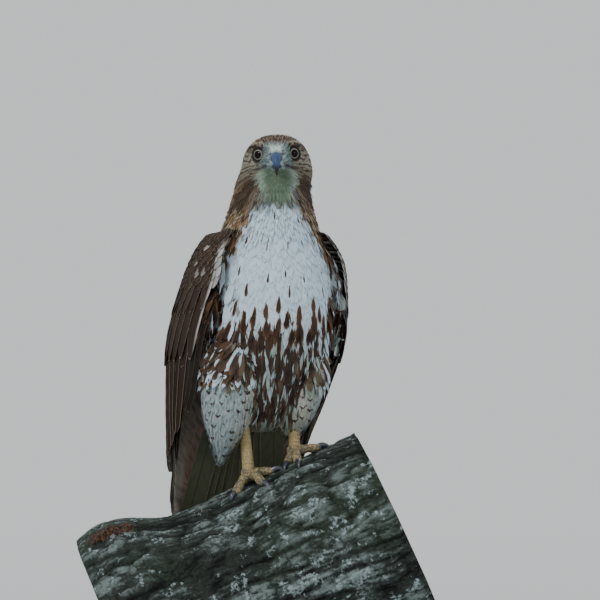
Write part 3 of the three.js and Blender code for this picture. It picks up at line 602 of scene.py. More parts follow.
def flow_streaks(bird):
    """A value from 0 to 1 that changes across the lie of the feathers and hardly along it."""
    h = head_from_bird(bird)
    from_bill = h - BILL_ROOT
    reach = np.linalg.norm(from_bill, axis=1)
    around = np.arctan2(from_bill[:, 2], from_bill[:, 0])
    head_wave = np.sin(around * 37 + 0.8 * np.sin(reach / 7))
    head_wave += np.sin(around * 61 + 1.1 * np.sin(reach / 5 + 2))
    turn = round_body(bird)
    z = bird[:, 2]
    body_wave = np.sin(turn * 37 + 1.5 * np.sin(z / 13)) + np.sin(turn * 61 + 1.9 * np.sin(z / 17 + 1))
    on_head = smoothstep(-78, -50, h[:, 2])
    return 0.5 + 0.25 * (body_wave * (1 - on_head) + head_wave * on_head)


def markings(bird, thigh, chance):
    """Colours of feathers rooted at places of the bird, with the shape and look of their shaft streaks."""
    z = bird[:, 2]
    count = len(bird)
    side = body_turn(bird)
    wobble = (chance - 0.5) * 16
    # Back and shoulders are dark brown
    tint = np.tile(BROWN, (count, 1)) * (0.75 + 0.6 * chance)[:, None]
    mark_tint = np.tile(DARK, (count, 1))
    shape = np.tile((0.25, 0.6, 0.5), (count, 1))
    look = np.tile((0.6, 0.0, 0.28), (count, 1))
    # Sides of the neck and breast are streaked rufous, brown and buff
    edge = half_white(z)
    rufous = smoothstep(edge - 6, edge + 8, side + wobble) * smoothstep(78, 66, side - edge * 0.45)
    flow = np.clip(flow_streaks(bird) + 0.35 * (rng.random(count) - 0.5), 0, 1)
    ruddy = mix(BROWN * 0.8, mix(GOLDEN, RUFOUS, smoothstep(335, 300, z)), smoothstep(0.2, 0.5, flow))
    streaky = mix(ruddy, CREAM * 0.8, smoothstep(0.5, 0.7, flow) * 0.85)
    streaky = streaky * (0.75 + 0.5 * rng.random(count))[:, None]
    tint = mix(tint, streaky, rufous * smoothstep(170, 205, z))
    look[:, 0] = np.where(rufous > 0.5, 0.75, look[:, 0])
    mark_tint = mix(mark_tint, BROWN * 0.8, rufous)
    # The breast and belly are white, with a blue cast that is painted cool skylight
    white = smoothstep(edge + 7, edge - 5, side + wobble)
    tint = mix(tint, WHITE_SKYLIT_BLUE * (0.9 + 0.12 * chance)[:, None], white)
    look[white > 0.3] = 0
    # The lower belly is duller, its white painted darker and greener downward as painted shade and green
    # reflected light, and the vent plain dull cream
    dull = smoothstep(218, 150, z) * white
    tint = mix(tint, OLIVE_WHITE_SHADED, dull * (0.35 + 0.65 * rng.random(count)))
    murky = (rng.random(count) < 0.5 * smoothstep(165, 125, z) * smoothstep(62, 80, z)) * white
    tint = mix(tint, mix(DARK_OLIVE, BROWN * 1.3, rng.random(count)), murky * smoothstep(76, 60, side))
    # The flanks are rufous and brown, with round white spots
    flank = smoothstep(44, 58, side + wobble) * smoothstep(106, 98, side) * smoothstep(262, 235, z + wobble)
    flank = flank * smoothstep(98, 108, z + wobble / 2)
    turn_side = side * np.sign(bird[:, 0])
    patchy = mix(RUFOUS * 0.5, BROWN * 0.9, rng.random(count))
    arc = turn_side * SPOT_TURN
    spot = np.sin(arc / SPOT_PITCH + 0.9 * np.sin(z / 19)) * np.sin(z / SPOT_PITCH + 0.8 * np.sin(arc / 17))
    patchy = mix(patchy, WHITE_SKYLIT_BLUE * 0.9, smoothstep(0.40, 0.5, np.abs(spot) + 0.12 * rng.normal(size=count)))
    lined = smoothstep(62, 70, side + wobble / 2) * smoothstep(115, 150, z)
    lined *= (bird[:, 0] > 0) | (rng.random(count) < 0.45)
    patchy = mix(patchy, LINING_PALE * (0.75 + 0.5 * rng.random(count))[:, None], lined)
    tint = mix(tint, patchy, flank)
    spotted = (flank > 0.5) & (rng.random(count) < 0.6)
    mark_tint = np.where(spotted[:, None], WHITE_SKYLIT_BLUE * 0.85, mark_tint)
    shape = np.where(spotted[:, None], (0.8, 0.92, 0.13), shape)
    look[:, 0] = np.where(flank > 0.5, 0.95 * spotted * (1 - lined), look[:, 0])
    vent = smoothstep(74, 50, z) * smoothstep(70, 50, np.abs(bird[:, 0]))
    tint = mix(tint, VENT, vent)
    # Thighs are whitish, greyed and blued as painted shade and cool skylight
    low = thigh & (z < THIGH_TOP + 16 * (chance - 0.5))
    olive = smoothstep(-20, 10, 42 - np.abs(bird[:, 0]))
    pale = mix(THIGH_SHADED_BLUE, CREAM * 0.95, 0.5 * olive) * (0.88 + 0.16 * chance)[:, None]
    tint = np.where(low[:, None], pale, tint)
    look = np.where(low[:, None], 0.0, look)
    return head_markings(bird, tint, mark_tint, shape, look)


def head_markings(bird, tint, mark_tint, shape, look):
    """The head's own pattern, by place in the head's frame."""
    h = head_from_bird(bird)
    x, y, z = np.abs(h[:, 0]), h[:, 1], h[:, 2]
    count = len(x)
    other = rng.random(count)
    on_head = smoothstep(-74, -58, z + 0.25 * np.maximum(y, -20))
    # Crown and nape: dark brown streaked with buff
    flow = np.clip(flow_streaks(bird) + 0.45 * (other - 0.5), 0, 1)
    face = mix(CROWN, BUFF, smoothstep(0.55, 0.75, flow) * 0.8)
    # Cheeks: grey buff with fine dark streaks, browner and darker towards the neck
    cheek = mix(CHEEK_STREAK, CHEEK, smoothstep(0.2, 0.6, flow))
    cheek = mix(cheek, mix(BROWN, BUFF, 0.35 * smoothstep(0.4, 0.7, flow)), smoothstep(-12, -36, z) * 0.8)
    golden = mix(BROWN * 0.7, GOLDEN, smoothstep(0.35, 0.6, flow))
    cheek = mix(cheek, golden, smoothstep(-30, -46, z) * smoothstep(30, 40, x))
    face = mix(face, cheek, smoothstep(8, -1, z) * smoothstep(26, 6, y))
    # Forehead bluish white, greyer and streaked before the eyes
    front = mix(FOREHEAD, LORE, smoothstep(6, 12, x)) * (0.5 + 0.65 * smoothstep(0.25, 0.65, flow))[:, None]
    ragged = 6 * (flow - 0.5)
    low = smoothstep(24, 17, x + 0.3 * np.maximum(z, 0) + ragged / 2)
    lores = low * smoothstep(-15, -22, y) * smoothstep(14.5, 10.5, z + ragged)
    face = mix(face, front, lores)
    patch = smoothstep(7, 4.5, x) * smoothstep(8, 5.5, z + ragged / 3)
    patch = patch * smoothstep(-29, -33, y) * smoothstep(-2, 2, z)
    face = mix(face, PATCH * (0.85 + 0.2 * other)[:, None], patch)
    # Dark bristles beside the nostrils
    bristles = bell(x, 7.6, 1.3) * bell(z, -0.5, 1.8) * smoothstep(-36, -40, y)
    face = mix(face, DARK, np.clip(bristles * 1.4, 0, 1))
    # A brow over each eye: pale along its edge, and dark under it as painted shadow of its overhang
    brow_level = 10.3 - 0.03 * (x - 27) ** 2
    brow = bell(z, brow_level, 2.1) * smoothstep(13, 18, x) * smoothstep(4, -8, y)
    face = mix(face, DARK * 0.8, np.clip(brow * 1.6, 0, 1))
    ridge = bell(z - brow_level, 3.9, 1.7) * smoothstep(12, 17, x) * smoothstep(8, -4, y)
    face = mix(face, BROW_PALE * (0.8 + 0.4 * other)[:, None], np.clip(ridge * 1.1, 0, 1))
    # Throat: dull and greenish in the middle, paler at its sides, a fan that ends in dark tips; the dull
    # green over its white is painted shade and painted green reflected light
    half = np.interp(z, THROAT_LEVELS, THROAT_HALVES)
    jag = 7 * (flow - 0.5)
    throat = smoothstep(half + 2, half - 2, x + jag) * smoothstep(-15, -19, z) * smoothstep(16, 0, y)
    throat *= smoothstep(-60, -52, z + jag)
    face = mix(face, mix(THROAT_GREEN_SHADE, THROAT_SIDE_GREEN_LIT, smoothstep(9, 21, x)) * (0.82 + 0.3 * other)[:, None], throat)
    bib = bell(z - 0.02 * x * x, -57, 4.0) * smoothstep(22, 12, x) * smoothstep(14, -4, y)
    face = mix(face, BROWN, np.clip(bib, 0, 1) * (other > 0.5) * 0.85)
    # A dark stripe down from the corner of the mouth
    stripe = 25 + 0.6 * (-z - 24)
    malar = bell(x - stripe, 1, 7.5) * smoothstep(-26, -36, z) * smoothstep(28, 8, y)
    malar = np.clip(malar * 1.8, 0, 1) * (0.75 + 0.25 * other)
    face = mix(face, mix(DARK * 0.7, BROWN * 0.6, other), malar)
    # The line of the mouth
    mouth = bell(z + 14 + 0.3 * (x - 12), 0, 1.7) * smoothstep(33, 22, x) * smoothstep(8, 11, x)
    face = mix(face, DARK * 1.3, np.clip(mouth * smoothstep(0, -14, y), 0, 1) * 0.95)
    tint = mix(tint, face, on_head)
    mark_tint = mix(mark_tint, mix(BROWN * 0.6, DARK, 0.5), on_head)
    plain = np.clip(throat + brow, 0, 1)
    fine = 0.85 - 0.45 * lores
    look_head = stack(fine * (1 - plain), np.zeros(count), 0.35 * (1 - plain) * (1 - lores))
    look = mix(look, look_head, on_head)
    shape = mix(shape, (0.34, 0.62, 0.5), on_head)
    return tint, mark_tint, shape, look


# Dark drops on the white parts, kept as a field that feathers and skin both read

class Drops:
    """Marks with a place, a way down, and sizes: length, width, bend into a V, darkness and dullness."""

    def __init__(self, place, way, normal, sizes):
        self.place, self.way = place, way
        self.across = np.cross(normal, way)
        self.sizes = sizes
        self.tree = KDTree(len(place))
        for i, spot in enumerate(place):
            self.tree.insert(self.stretched(spot), i)
        self.tree.balance()

    def stretched(self, spot):
        return Vector((spot[0], spot[1], spot[2] * 0.5))

    def near(self, points):
        """The numbers of the three marks nearest to each place."""
        return np.array([[i for _, i, _ in self.tree.find_n(self.stretched(p), 3)] for p in points])

    def field(self, points, marks):
        """How far inside a mark the points lie, from 1 in its middle to 0 at its rim, and how it looks."""
        best = np.full(points.shape[:2], -9.0)
        dark = np.zeros(points.shape[:2])
        dull = np.zeros(points.shape[:2])
        for column in marks.T:
            rel = points - self.place[column][:, None]
            length, width, vee, shade, dullness = (self.sizes[column, k][:, None] for k in range(5))
            aside = np.abs((rel * self.across[column][:, None]).sum(axis=2)) / width
            along = (rel * self.way[column][:, None]).sum(axis=2) / length + vee * aside
            value = 1 - np.sqrt(along ** 2 + (aside * (1.12 - 0.5 * np.clip(along, -1, 1))) ** 2)
            nearer = value > best
            best = np.where(nearer, value, best)
            dark = np.where(nearer, shade, dark)
            dull = np.where(nearer, dullness, dull)
        return np.stack([np.maximum(best, -1.0), dark, dull], axis=-1)


# The spacing of the drops at heights of the breast and belly, and on the thighs
DROP_HEIGHTS = (80, 150, 190, 225, 240, 330)
DROP_SPACINGS = (9.5, 11.0, 15.0, 19.0, 25.0, 26.0)
THIGH_SPACING = 9.5
BAND_TOP = 190
VENT_TOP = 62
DROP_HEAD_LEVEL = -66


def scattered_drops(place, normal, thigh):
    """Drops that grow closer and wider down the belly, thin streaks above, small Vs on the thighs."""
    z = place[:, 2]
    side = body_turn(place)
    low = thigh & (z < THIGH_TOP)
    white = (side < half_white(z) + 2) | thigh
    flank = smoothstep(48, 66, side)
    spacing = np.interp(z, DROP_HEIGHTS, DROP_SPACINGS)
    spacing = spacing * (1 - 0.3 * flank * (z > BAND_TOP))
    spacing[low] = THIGH_SPACING
    head = head_from_bird(place)[:, 2] > DROP_HEAD_LEVEL
    free = white & ~head & ~((z < VENT_TOP) & ~thigh)
    picked = np.flatnonzero(free)
    taken = spaced(place[picked] * (1, 1, 0.7), spacing[picked], rng.permutation(len(picked)))
    chosen = picked[taken]
    z, side, low = z[chosen], side[chosen], low[chosen]
    count = len(chosen)
    big = smoothstep(232, 165, z)
    vary = 0.75 + 0.5 * rng.random(count)
    length = (6.5 + 9.5 * big) * vary
    width = (1.2 + 4.4 * big + 1.2 * smoothstep(48, 66, side) * (1 - big)) * (0.7 + 0.6 * rng.random(count))
    vee = np.zeros(count)
    shade = 0.30 + 0.55 * rng.random(count) + 0.45 * smoothstep(205, 130, z)
    length[low], width[low], vee[low] = 1.7 * vary[low], 4.6 * vary[low], 2.2
    dull = np.maximum(low, 0.35 * (1 - big) + 0.55 * smoothstep(175, 130, z))
    place, normal = place[chosen], normal[chosen]
    return Drops(place, lie(place, normal), normal, stack(length, width, vee, shade, dull))


# Coat: small feathers rooted on the skin

def spaced(points, spacing, order):
    """Which points stay when each keeps clear of the ones before it by its own spacing."""
    tree = KDTree(len(points))
    for i, point in enumerate(points):
        tree.insert(point, i)
    tree.balance()
    taken = np.zeros(len(points), bool)
    gone = np.zeros(len(points), bool)
    for i in order:
        if gone[i]:
            continue
        taken[i] = True
        for _, j, _ in tree.find_range(points[i], spacing[i]):
            gone[j] = True
    return taken


def scattered(skin, count):
    """Random places on the skin, even by area, in the bird's frame."""
    faces = mesh_triangles(skin.data)
    points, normals = mesh_arrays(skin.data)
    corners = points[faces]
    area = np.linalg.norm(np.cross(corners[:, 1] - corners[:, 0], corners[:, 2] - corners[:, 0]), axis=1)
    chosen = rng.choice(len(faces), count, p=area / area.sum())
    a, b = rng.random(count), rng.random(count)
    over = a + b > 1
    a[over], b[over] = 1 - a[over], 1 - b[over]
    share = stack(1 - a - b, a, b)[..., None]
    place = (corners[chosen] * share).sum(axis=1)
    normal = unit((normals[faces[chosen]] * share).sum(axis=1))
    return bird_from_world(place), turned(normal, np.linalg.inv(BIRD))


BILL_ROOT = np.array((0.0, -44.0, -6.0))
HEAD_LIE_LEVELS = (-78, -34)
LID_LIE_REACH = 4.5
LID_LIE_STRENGTH = 2.2
LID_LIE_FOOT = -20
FLANK_SPREAD = 0.22
FLANK_TURNS = (42, 60)
FLANK_RISE = (100, 120)
FLANK_FALL = (240, 215)
WING_CLEARANCE = 9.0


def lie(bird, normal):
    """The way feathers lie: back from the bill over the head, then down the body."""
    h = head_from_bird(bird)
    back = turned(unit(h - BILL_ROOT), HEAD)
    down = stack(bird[:, 0] * 0.0022, np.full(len(bird), 0.05), np.full(len(bird), -1.0))
    on_head = smoothstep(*HEAD_LIE_LEVELS, h[:, 2])
    way = unit(down) * (1 - on_head[:, None]) + back * on_head[:, None]
    for side in (-1, 1):
        _, flat = from_eye(h, side)
        near = np.exp(-np.maximum(0, np.linalg.norm(flat, axis=1) - LID_OPENING) / LID_LIE_REACH)
        way = way + turned(unit(flat), HEAD) * (LID_LIE_STRENGTH * near * (h[:, 2] > LID_LIE_FOOT))[:, None]
    # Flank feathers spread outward over the edge of the wing
    turn = np.degrees(round_body(bird))
    level = smoothstep(*FLANK_RISE, bird[:, 2]) * smoothstep(*FLANK_FALL, bird[:, 2])
    outward = (smoothstep(*FLANK_TURNS, np.abs(turn)) * level)[:, None]
    way = way + stack(np.sign(turn) * FLANK_SPREAD, np.full(len(turn), FLANK_SPREAD), 0 * turn) * outward
    return unit(way - normal * (way * normal).sum(axis=1, keepdims=True))


def feather_strips(root, way, normal, size, lift, profile, region, tree):
    """Points of many small feathers as (feather, row, column), bent to follow the skin."""
    count, rows, columns = len(root), region["rows"], region["columns"]
    v = np.linspace(0, 1, rows)
    u = np.linspace(-1, 1, columns)
    side = np.cross(normal, way)
    spine = np.empty((count, rows, 3))
    up = np.empty((count, rows, 3))
    knots = [0.0, 0.5, 1.0]
    on_skin, facing = [], []
    for share in knots:
        target = root + way * (size[:, :1] * share)
        found = [tree.find_nearest(Vector(p)) for p in target]
        on_skin.append(np.array([tuple(f[0]) for f in found]))
        facing.append(np.array([tuple(f[1]) for f in found]))
    for r, share in enumerate(v):
        weights = (2 * (share - 0.5) * (share - 1), -4 * share * (share - 1), 2 * share * (share - 0.5))
        middle = sum(w * p for w, p in zip(weights, on_skin))
        out = unit(sum(max(0, 1 - abs(share - k) * 2) * f for k, f in zip(knots, facing)))
        height = lift[:, :1] + (lift[:, 1:2] - lift[:, :1]) * share ** 0.8
        spine[:, r] = middle + out * height
        up[:, r] = out
    half = size[:, 1:2] / 2 * profile(v)[None]
    points = (spine[:, :, None] + side[:, None, None] * (half[:, :, None] * u)[..., None]
              - up[:, :, None] * (half[:, :, None] * FEATHER_CUP * u * u)[..., None])
    # Frayed tips: the last rows run out by different lengths
    ragged = (rng.random((count, columns)) - 0.6) * region["fray"]
    for r, amount in ((rows - 1, 1.0), (rows - 2, 0.35)):
        points[:, r] += way[:, None] * (ragged * size[:, :1] * amount)[..., None]
    return points, np.broadcast_to(u, (rows, columns)), np.broadcast_to(v[:, None], (rows, columns))


def rounded(v):
    """Share of the full width down a small feather, with a round tip."""
    tip = np.sqrt(np.clip(1 - ((v - 0.55) / 0.49) ** 2, 0, 1))
    return np.where(v < 0.55, ((v + 0.06) / 0.61) ** 0.55, tip)


def pointed(v):
    """The same with a narrow tip."""
    tip = np.clip(1 - (v - 0.4) / 0.66, 0, 1) ** 0.75
    return np.where(v < 0.4, ((v + 0.06) / 0.46) ** 0.6, tip)


FEATHER_CUP = 0.16
BAKE_PATCH = 0.003
BAKE_MARGIN = 0.03


def set_bake_map(piece, uv, faces):
    layer = piece.data.uv_layers.new(name="OFBake")
    layer.data.foreach_set("uv", uv[faces.ravel()].astype(np.float32).ravel())


def small_patches(u, v, place):
    """Each feather is a small patch at its root's place on an unwrap of the skin."""
    flat = stack(u.ravel() * 0.5, v.ravel() - 0.5) * BAKE_PATCH
    return (place[:, None] + flat[None]).reshape(-1, 2)


def unwrapped(points):
    """Around and along an upright axis through the middle of the points, with a margin all round."""
    middle = points[:, :2].mean(axis=0)
    around = np.arctan2(points[:, 0] - middle[0], -(points[:, 1] - middle[1])) / (2 * math.pi) + 0.5
    low, high = points[:, 2].min(), points[:, 2].max()
    along = (points[:, 2] - low) / (high - low)
    return BAKE_MARGIN + (1 - 2 * BAKE_MARGIN) * stack(around, np.clip(along, 0, 1))


def coat_piece(name, root, strips, u, v, marks, drops, ragged, chance, material):
    count, rows, columns = strips.shape[:3]
    each = rows * columns
    quads = grid_faces(rows, columns)
    faces = (quads[None] + (np.arange(count) * each)[:, None, None]).reshape(-1, 4)
    piece = mesh_object(name, world_from_bird(strips.reshape(-1, 3)), faces)
    tint, mark_tint, shape, look = (np.repeat(values, each, axis=0) for values in marks)
    set_colours(piece, "tint", tint)
    set_colours(piece, "mark_tint", mark_tint)
    set_vectors(piece, "mark_shape", shape)
    set_vectors(piece, "mark_look", look)
    vane = np.empty((count, each, 3))
    vane[..., 0] = u.ravel()
    vane[..., 1] = v.ravel()
    vane[..., 2] = chance[:, None]
    set_vectors(piece, "vane", vane.reshape(-1, 3))
    spots = strips.reshape(count, each, 3)
    field = drops.field(spots, drops.near(spots[:, each * 3 // 4]))
    field[..., 0] += rng.normal(0, ragged, (count, 1))
    set_vectors(piece, "drop", field.reshape(-1, 3))
    set_bake_map(piece, small_patches(u, v, unwrapped(root)), faces)
    piece.data.materials.append(material)
    return piece


# Regions of the coat: a feather's size, the spacing, how high its root and tip stand, its grid of points,
# how far its tip frays and how ragged the rims of the drops are on it

REGIONS = {
    "coat_face": dict(
        length=6.5, width=2.1, spacing=1.25, root=-0.5, tip=1.2, rows=4, columns=3, fray=0.2, ragged=0.1),
    "coat_head": dict(
        length=10.0, width=3.5, spacing=1.8, root=-0.5, tip=1.8, rows=5, columns=5, fray=0.2, ragged=0.1),
    "coat_neck": dict(
        length=20.0, width=5.6, spacing=2.9, root=-0.8, tip=3.4, rows=6, columns=5, fray=0.2, ragged=0.1),
    "coat_breast": dict(
        length=30.0, width=12.0, spacing=4.3, root=-1.0, tip=2.0, rows=9, columns=7, fray=0.14, ragged=0.1),
    "coat_belly": dict(
        length=34, width=11, spacing=4.3, root=-1.0, tip=3.2, rows=10, columns=7, fray=0.26, ragged=0.22),
    "coat_plume": dict(
        length=42.0, width=7.5, spacing=3.8, root=-1.0, tip=5.0, rows=10, columns=5, fray=0.3, ragged=0.55),
    "coat_flank": dict(
        length=36.0, width=11.5, spacing=4.4, root=-1.0, tip=8.0, rows=10, columns=7, fray=0.16, ragged=0.2),
    "coat_back": dict(
        length=38.0, width=21.0, spacing=8.0, root=-1.0, tip=3.6, rows=8, columns=9, fray=0.05, ragged=0.0),
    "coat_thigh": dict(
        length=23.0, width=7.5, spacing=3.7, root=-0.8, tip=3.0, rows=10, columns=7, fray=0.3, ragged=0.12),
}

# Feathers that change in size over a range of heights, as the heights and their scales
SCALED_BY_HEIGHT = {
    "coat_thigh": ((0, 60), (0.85, 1.0)),
    "coat_flank": ((100, 160), (0.68, 1.0)),
    "coat_neck": ((296, 350), (1.25, 0.85)),
}

# Feathers also grow on the wing's front edge where it faces inward, and a little way over from the body
EDGE_FACING = 0.1
EDGE_HEIGHT = 150
EDGE_BACK = 30
COAT_OVERLAP = 2.5
COAT_PLACES = 170000


# Where the regions meet: heights on the body, degrees round it, and on the head its lower level and the line
# behind the face; borders wander by the border widths
BREAST_FOOT = 205
PLUME_HEIGHTS = (66, 158)
FLANK_FOOT = 112
FLANK_TOP = 235
FLANK_TURN = 54
BACK_TURN = 95
NECK_FOOT = 296
HEAD_FOOT = -46
FACE_LINE = -9
BODY_BORDER = 16
FACE_BORDER = 6


def regions_of(bird, thigh):
    """Names the region of each place; wings are dressed on their own."""
    h = head_from_bird(bird)
    names = np.full(len(bird), "coat_belly", dtype="<U12")
    turn = np.abs(np.degrees(round_body(bird)))
    z = bird[:, 2] + BODY_BORDER * (rng.random(len(bird)) - 0.5)
    names[z > BREAST_FOOT] = "coat_breast"
    names[(z > PLUME_HEIGHTS[0]) & (z < PLUME_HEIGHTS[1])] = "coat_plume"
    names[(turn > FLANK_TURN) & (z > FLANK_FOOT) & (z < FLANK_TOP)] = "coat_flank"
    names[turn > BACK_TURN] = "coat_back"
    names[z > NECK_FOOT] = "coat_neck"
    head = h[:, 2] > HEAD_FOOT
    names[head] = "coat_head"
    names[head & (h[:, 1] + FACE_BORDER * rng.random(len(bird)) < FACE_LINE)] = "coat_face"
    names[thigh & (z < FLANK_FOOT)] = "coat_thigh"
    names[thigh & (z > FLANK_FOOT)] = "coat_flank"
    return names


# The feathers under the left cheek stand out a little
RUFF_LIFT = 3.0
RUFF_LEVEL = -38
RUFF_SPREAD = 5


def nearest_distance(tree, points):
    return np.array([tree.find_nearest(Vector(p))[3] for p in points])


def nearest_of(trees, points):
    return np.minimum.reduce([nearest_distance(tree, points) for tree in trees])


def body_tree(body):
    points, faces = body
    return BVHTree.FromPolygons([tuple(p) for p in points], [tuple(int(i) for i in f) for f in faces])


def mesh_tree(mesh):
    points = bird_from_world(mesh_arrays(mesh)[0])
    return BVHTree.FromPolygons([tuple(p) for p in points], [tuple(p.vertices) for p in mesh.polygons])


def flesh_distance(names, points):
    return nearest_of([mesh_tree(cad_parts[name].data) for name in names], points)


def build_coat(skin):
    """All small feathers of head, neck, body and thighs, one piece for each region."""
    tree = mesh_tree(skin.data)
    place, normal = scattered(skin, COAT_PLACES)
    body = flesh_distance(("torso", "neck", "head"), place)
    thighs = flesh_distance(("thigh_left", "thigh_right"), place)
    wing_trees = [body_tree(wing_body(name)) for name in WING_STATIONS]
    wings = nearest_of(wing_trees, place)
    tails = nearest_distance(body_tree(tail_body()), place)
    thigh = thighs < body
    drops = scattered_drops(place, normal, thigh)
    facing = unit(normal)[:, 0] * -np.sign(place[:, 0])
    in_front = (place[:, 2] > EDGE_HEIGHT) & (place[:, 1] < EDGE_BACK)
    on_edge = (facing > EDGE_FACING) & in_front & (wings < tails)
    keep = (np.minimum(body, thighs) < np.minimum(wings, tails) + COAT_OVERLAP) | on_edge
    place, normal, thigh, on_edge = place[keep], normal[keep], thigh[keep], on_edge[keep]
    region = regions_of(place, thigh)
    bare = bare_places(place)
    spacing = np.array([REGIONS[name]["spacing"] for name in region])
    taken = spaced(place, spacing, rng.permutation(len(place))) & ~bare
    place, normal, thigh = place[taken], normal[taken], thigh[taken]
    region, on_edge = region[taken], on_edge[taken]
    material = feather_material("small_feathers", 16.0, 0.25)
    pieces = []
    for name, sizes in REGIONS.items():
        here = region == name
        root, out = place[here], normal[here]
        if name == "coat_flank":
            tips = root + lie(root, out) * sizes["length"] + out * sizes["tip"]
            free = (nearest_of(wing_trees, tips) > WING_CLEARANCE) | on_edge[here]
            here = np.flatnonzero(here)[free]
            root, out = place[here], normal[here]
        count = len(root)
        chance = rng.random(count)
        way = lie(root, out)
        way = unit(way + np.cross(out, way) * (rng.normal(0, 0.09, count))[:, None])
        scale = 0.85 + 0.3 * rng.random(count)
        if name in SCALED_BY_HEIGHT:
            scale *= np.interp(root[:, 2], *SCALED_BY_HEIGHT[name])
        size = stack(sizes["length"] * scale, sizes["width"] * scale)
        lift = stack(np.full(count, sizes["root"]), sizes["tip"] * (0.75 + 0.5 * rng.random(count)))
        if name == "coat_head":
            level = head_from_bird(root)[:, 2]
            lift[:, 1] += RUFF_LIFT * bell(level, RUFF_LEVEL, RUFF_SPREAD) * (root[:, 0] > 0)
        profile = rounded if name in ("coat_back", "coat_flank") else pointed
        strips, u, v = feather_strips(root, way, out, size, lift, profile, sizes, tree)
        marks = markings(root, thigh[here], chance)
        pieces.append(coat_piece(name, root, strips, u, v, marks, drops, sizes["ragged"], chance, material))
    return pieces, drops


# Bare places: round the eyes and the root of the bill

EYE_RADIUS = 11.0
EYE_SIDE = 19.0
EYE_FORWARD = -15.0
EYE_LEVEL = -0.4
EYE_TURN = math.radians(33)
EYE_LIFT = 0.04
CORNEA_RISE = 0.75
CORNEA_SPREAD = 0.55
EYE_INSET = 0.15
LID_OPENING = 7.4
LID_WIDTH = 2.6
CERE_HALF = 7.2
CERE_BACK = -40
CERE_FOOT = -20
CERE_TOP = 4


def eye_frame(side):
    """The eye's axes across, up and along its gaze, as rows."""
    gaze = unit(np.array((side * math.sin(EYE_TURN), -math.cos(EYE_TURN), EYE_LIFT)))
    right = unit(np.cross(gaze, (0, 0, 1)))
    return np.stack([right, np.cross(right, gaze), gaze])


def eye_centre(side):
    return np.array((side * EYE_SIDE, EYE_FORWARD, EYE_LEVEL))


def from_eye(head_places, side):
    """How far places lie along the eye's gaze, and their offset from that line."""
    gaze = eye_frame(side)[2]
    away = head_places - eye_centre(side)
    along = away @ gaze
    return along, away - along[:, None] * gaze


def bare_places(bird):
    """Where no small feathers grow."""
    h = head_from_bird(bird)
    bare = np.zeros(len(bird), bool)
    for side in (-1, 1):
        along, aside = from_eye(h, side)
        bare |= (np.linalg.norm(aside, axis=1) < LID_OPENING + LID_WIDTH) & (along > 0)
    x, y, z = np.abs(h[:, 0]), h[:, 1], h[:, 2]
    return bare | (x < CERE_HALF) & (y < CERE_BACK) & (z > CERE_FOOT) & (z < CERE_TOP)


# Flight feathers and coverts: broad vanes with a shaft, laid in tiers on the wing's face

VANE_THICKNESS = 0.45
VANE_DOME = 0.5
BARB_WAVE = 0.16
LINING = np.array((0.34, 0.35, 0.34))


def vane_outline(root, shoulder, tip, round_length):
    """Share of the full width down a vane, which widens over its shoulder and ends in a round tip."""
    def share(v):
        swelling = np.minimum(((v + root) / shoulder) ** 0.5, 1.0)
        return swelling * np.sqrt(np.clip(1 - np.maximum(0, (v - tip) / round_length) ** 2, 0, 1))
    return share


blade = vane_outline(0.05, 0.35, 0.9, 0.105)
covert = vane_outline(0.08, 0.5, 0.62, 0.39)
quill = vane_outline(0.05, 0.4, 0.95, 0.056)


class Vanes:
    """Gathers vanes of one piece, each with its own colours and bars."""

    def __init__(self, rows, columns):
        self.rows, self.columns = rows, columns
        self.points, self.tint, self.bars, self.looks, self.vane, self.cells = ([] for _ in range(6))

    def add(self, spot, width, profile, lift, roll, outer, tint, under, bars, edge, cell, margin=None):
        """spot(share, across, height) gives points, and lift(share) the height of the shaft."""
        grid_v, grid_u = grid(np.linspace(0, 1, self.rows) ** 0.9, np.linspace(-1, 1, self.columns))
        half = width * profile(grid_v)
        across = np.where(grid_u < 0, grid_u * half * outer, grid_u * half * (1 - outer))
        wave = BARB_WAVE * np.sin(grid_v * 60 + grid_u * 4) * np.abs(grid_u)
        height = lift(grid_v) - grid_u * roll * np.abs(grid_u) ** 0.5 - VANE_DOME * grid_u ** 2 + wave
        top = spot(grid_v, across, height)
        chance = rng.random()
        bottom = spot(grid_v, across, height - VANE_THICKNESS)
        for points, colour, below in ((top, tint, 0.0), (bottom, under, 1.0)):
            self.points.append(points)
            tints = np.tile(colour, (len(points), 1))
            self.tint.append(tints if margin is None or below else margin(tints, grid_v, across))
            self.bars.append(np.tile(bars, (len(points), 1)))
            self.looks.append(np.tile((edge, below, 0.0), (len(points), 1)))
            self.vane.append(stack(grid_u, grid_v, np.full(len(points), chance)))
            self.cells.append((cell, below))

    def piece(self, name, material):
        quads = grid_faces(self.rows, self.columns)
        each = self.rows * self.columns
        faces = np.vstack([
            (quads[:, ::-1] if below else quads) + k * each for k, (_, below) in enumerate(self.cells)
        ])
        piece = mesh_object(name, world_from_bird(np.vstack(self.points)), faces)
        set_colours(piece, "tint", np.vstack(self.tint))
        set_vectors(piece, "bars", np.vstack(self.bars))
        set_vectors(piece, "vane_look", np.vstack(self.looks))
        set_vectors(piece, "vane", np.vstack(self.vane))
        set_bake_map(piece, self.bake_places(), faces)
        piece.data.materials.append(material)
        return piece

    def bake_places(self):
        """Vanes lie side by side in rows, each sheet in a tall cell of its own."""
        places = sorted({cell for cell, _ in self.cells})
        slots = len(places) * 2
        columns = math.ceil(math.sqrt(slots * 5))
        rows = math.ceil(slots / columns)
        size = np.array((0.86 / columns, 0.94 / rows))
        uv = []
        for (cell, below), vane in zip(self.cells, self.vane):
            slot = places.index(cell) * 2 + int(below)
            corner = np.array((slot % columns, slot // columns)) / np.array((columns, rows))
            uv.append(corner + size * stack(vane[:, 0] * 0.5 + 0.52, vane[:, 1] * 0.96 + 0.02))
        return np.vstack(uv)


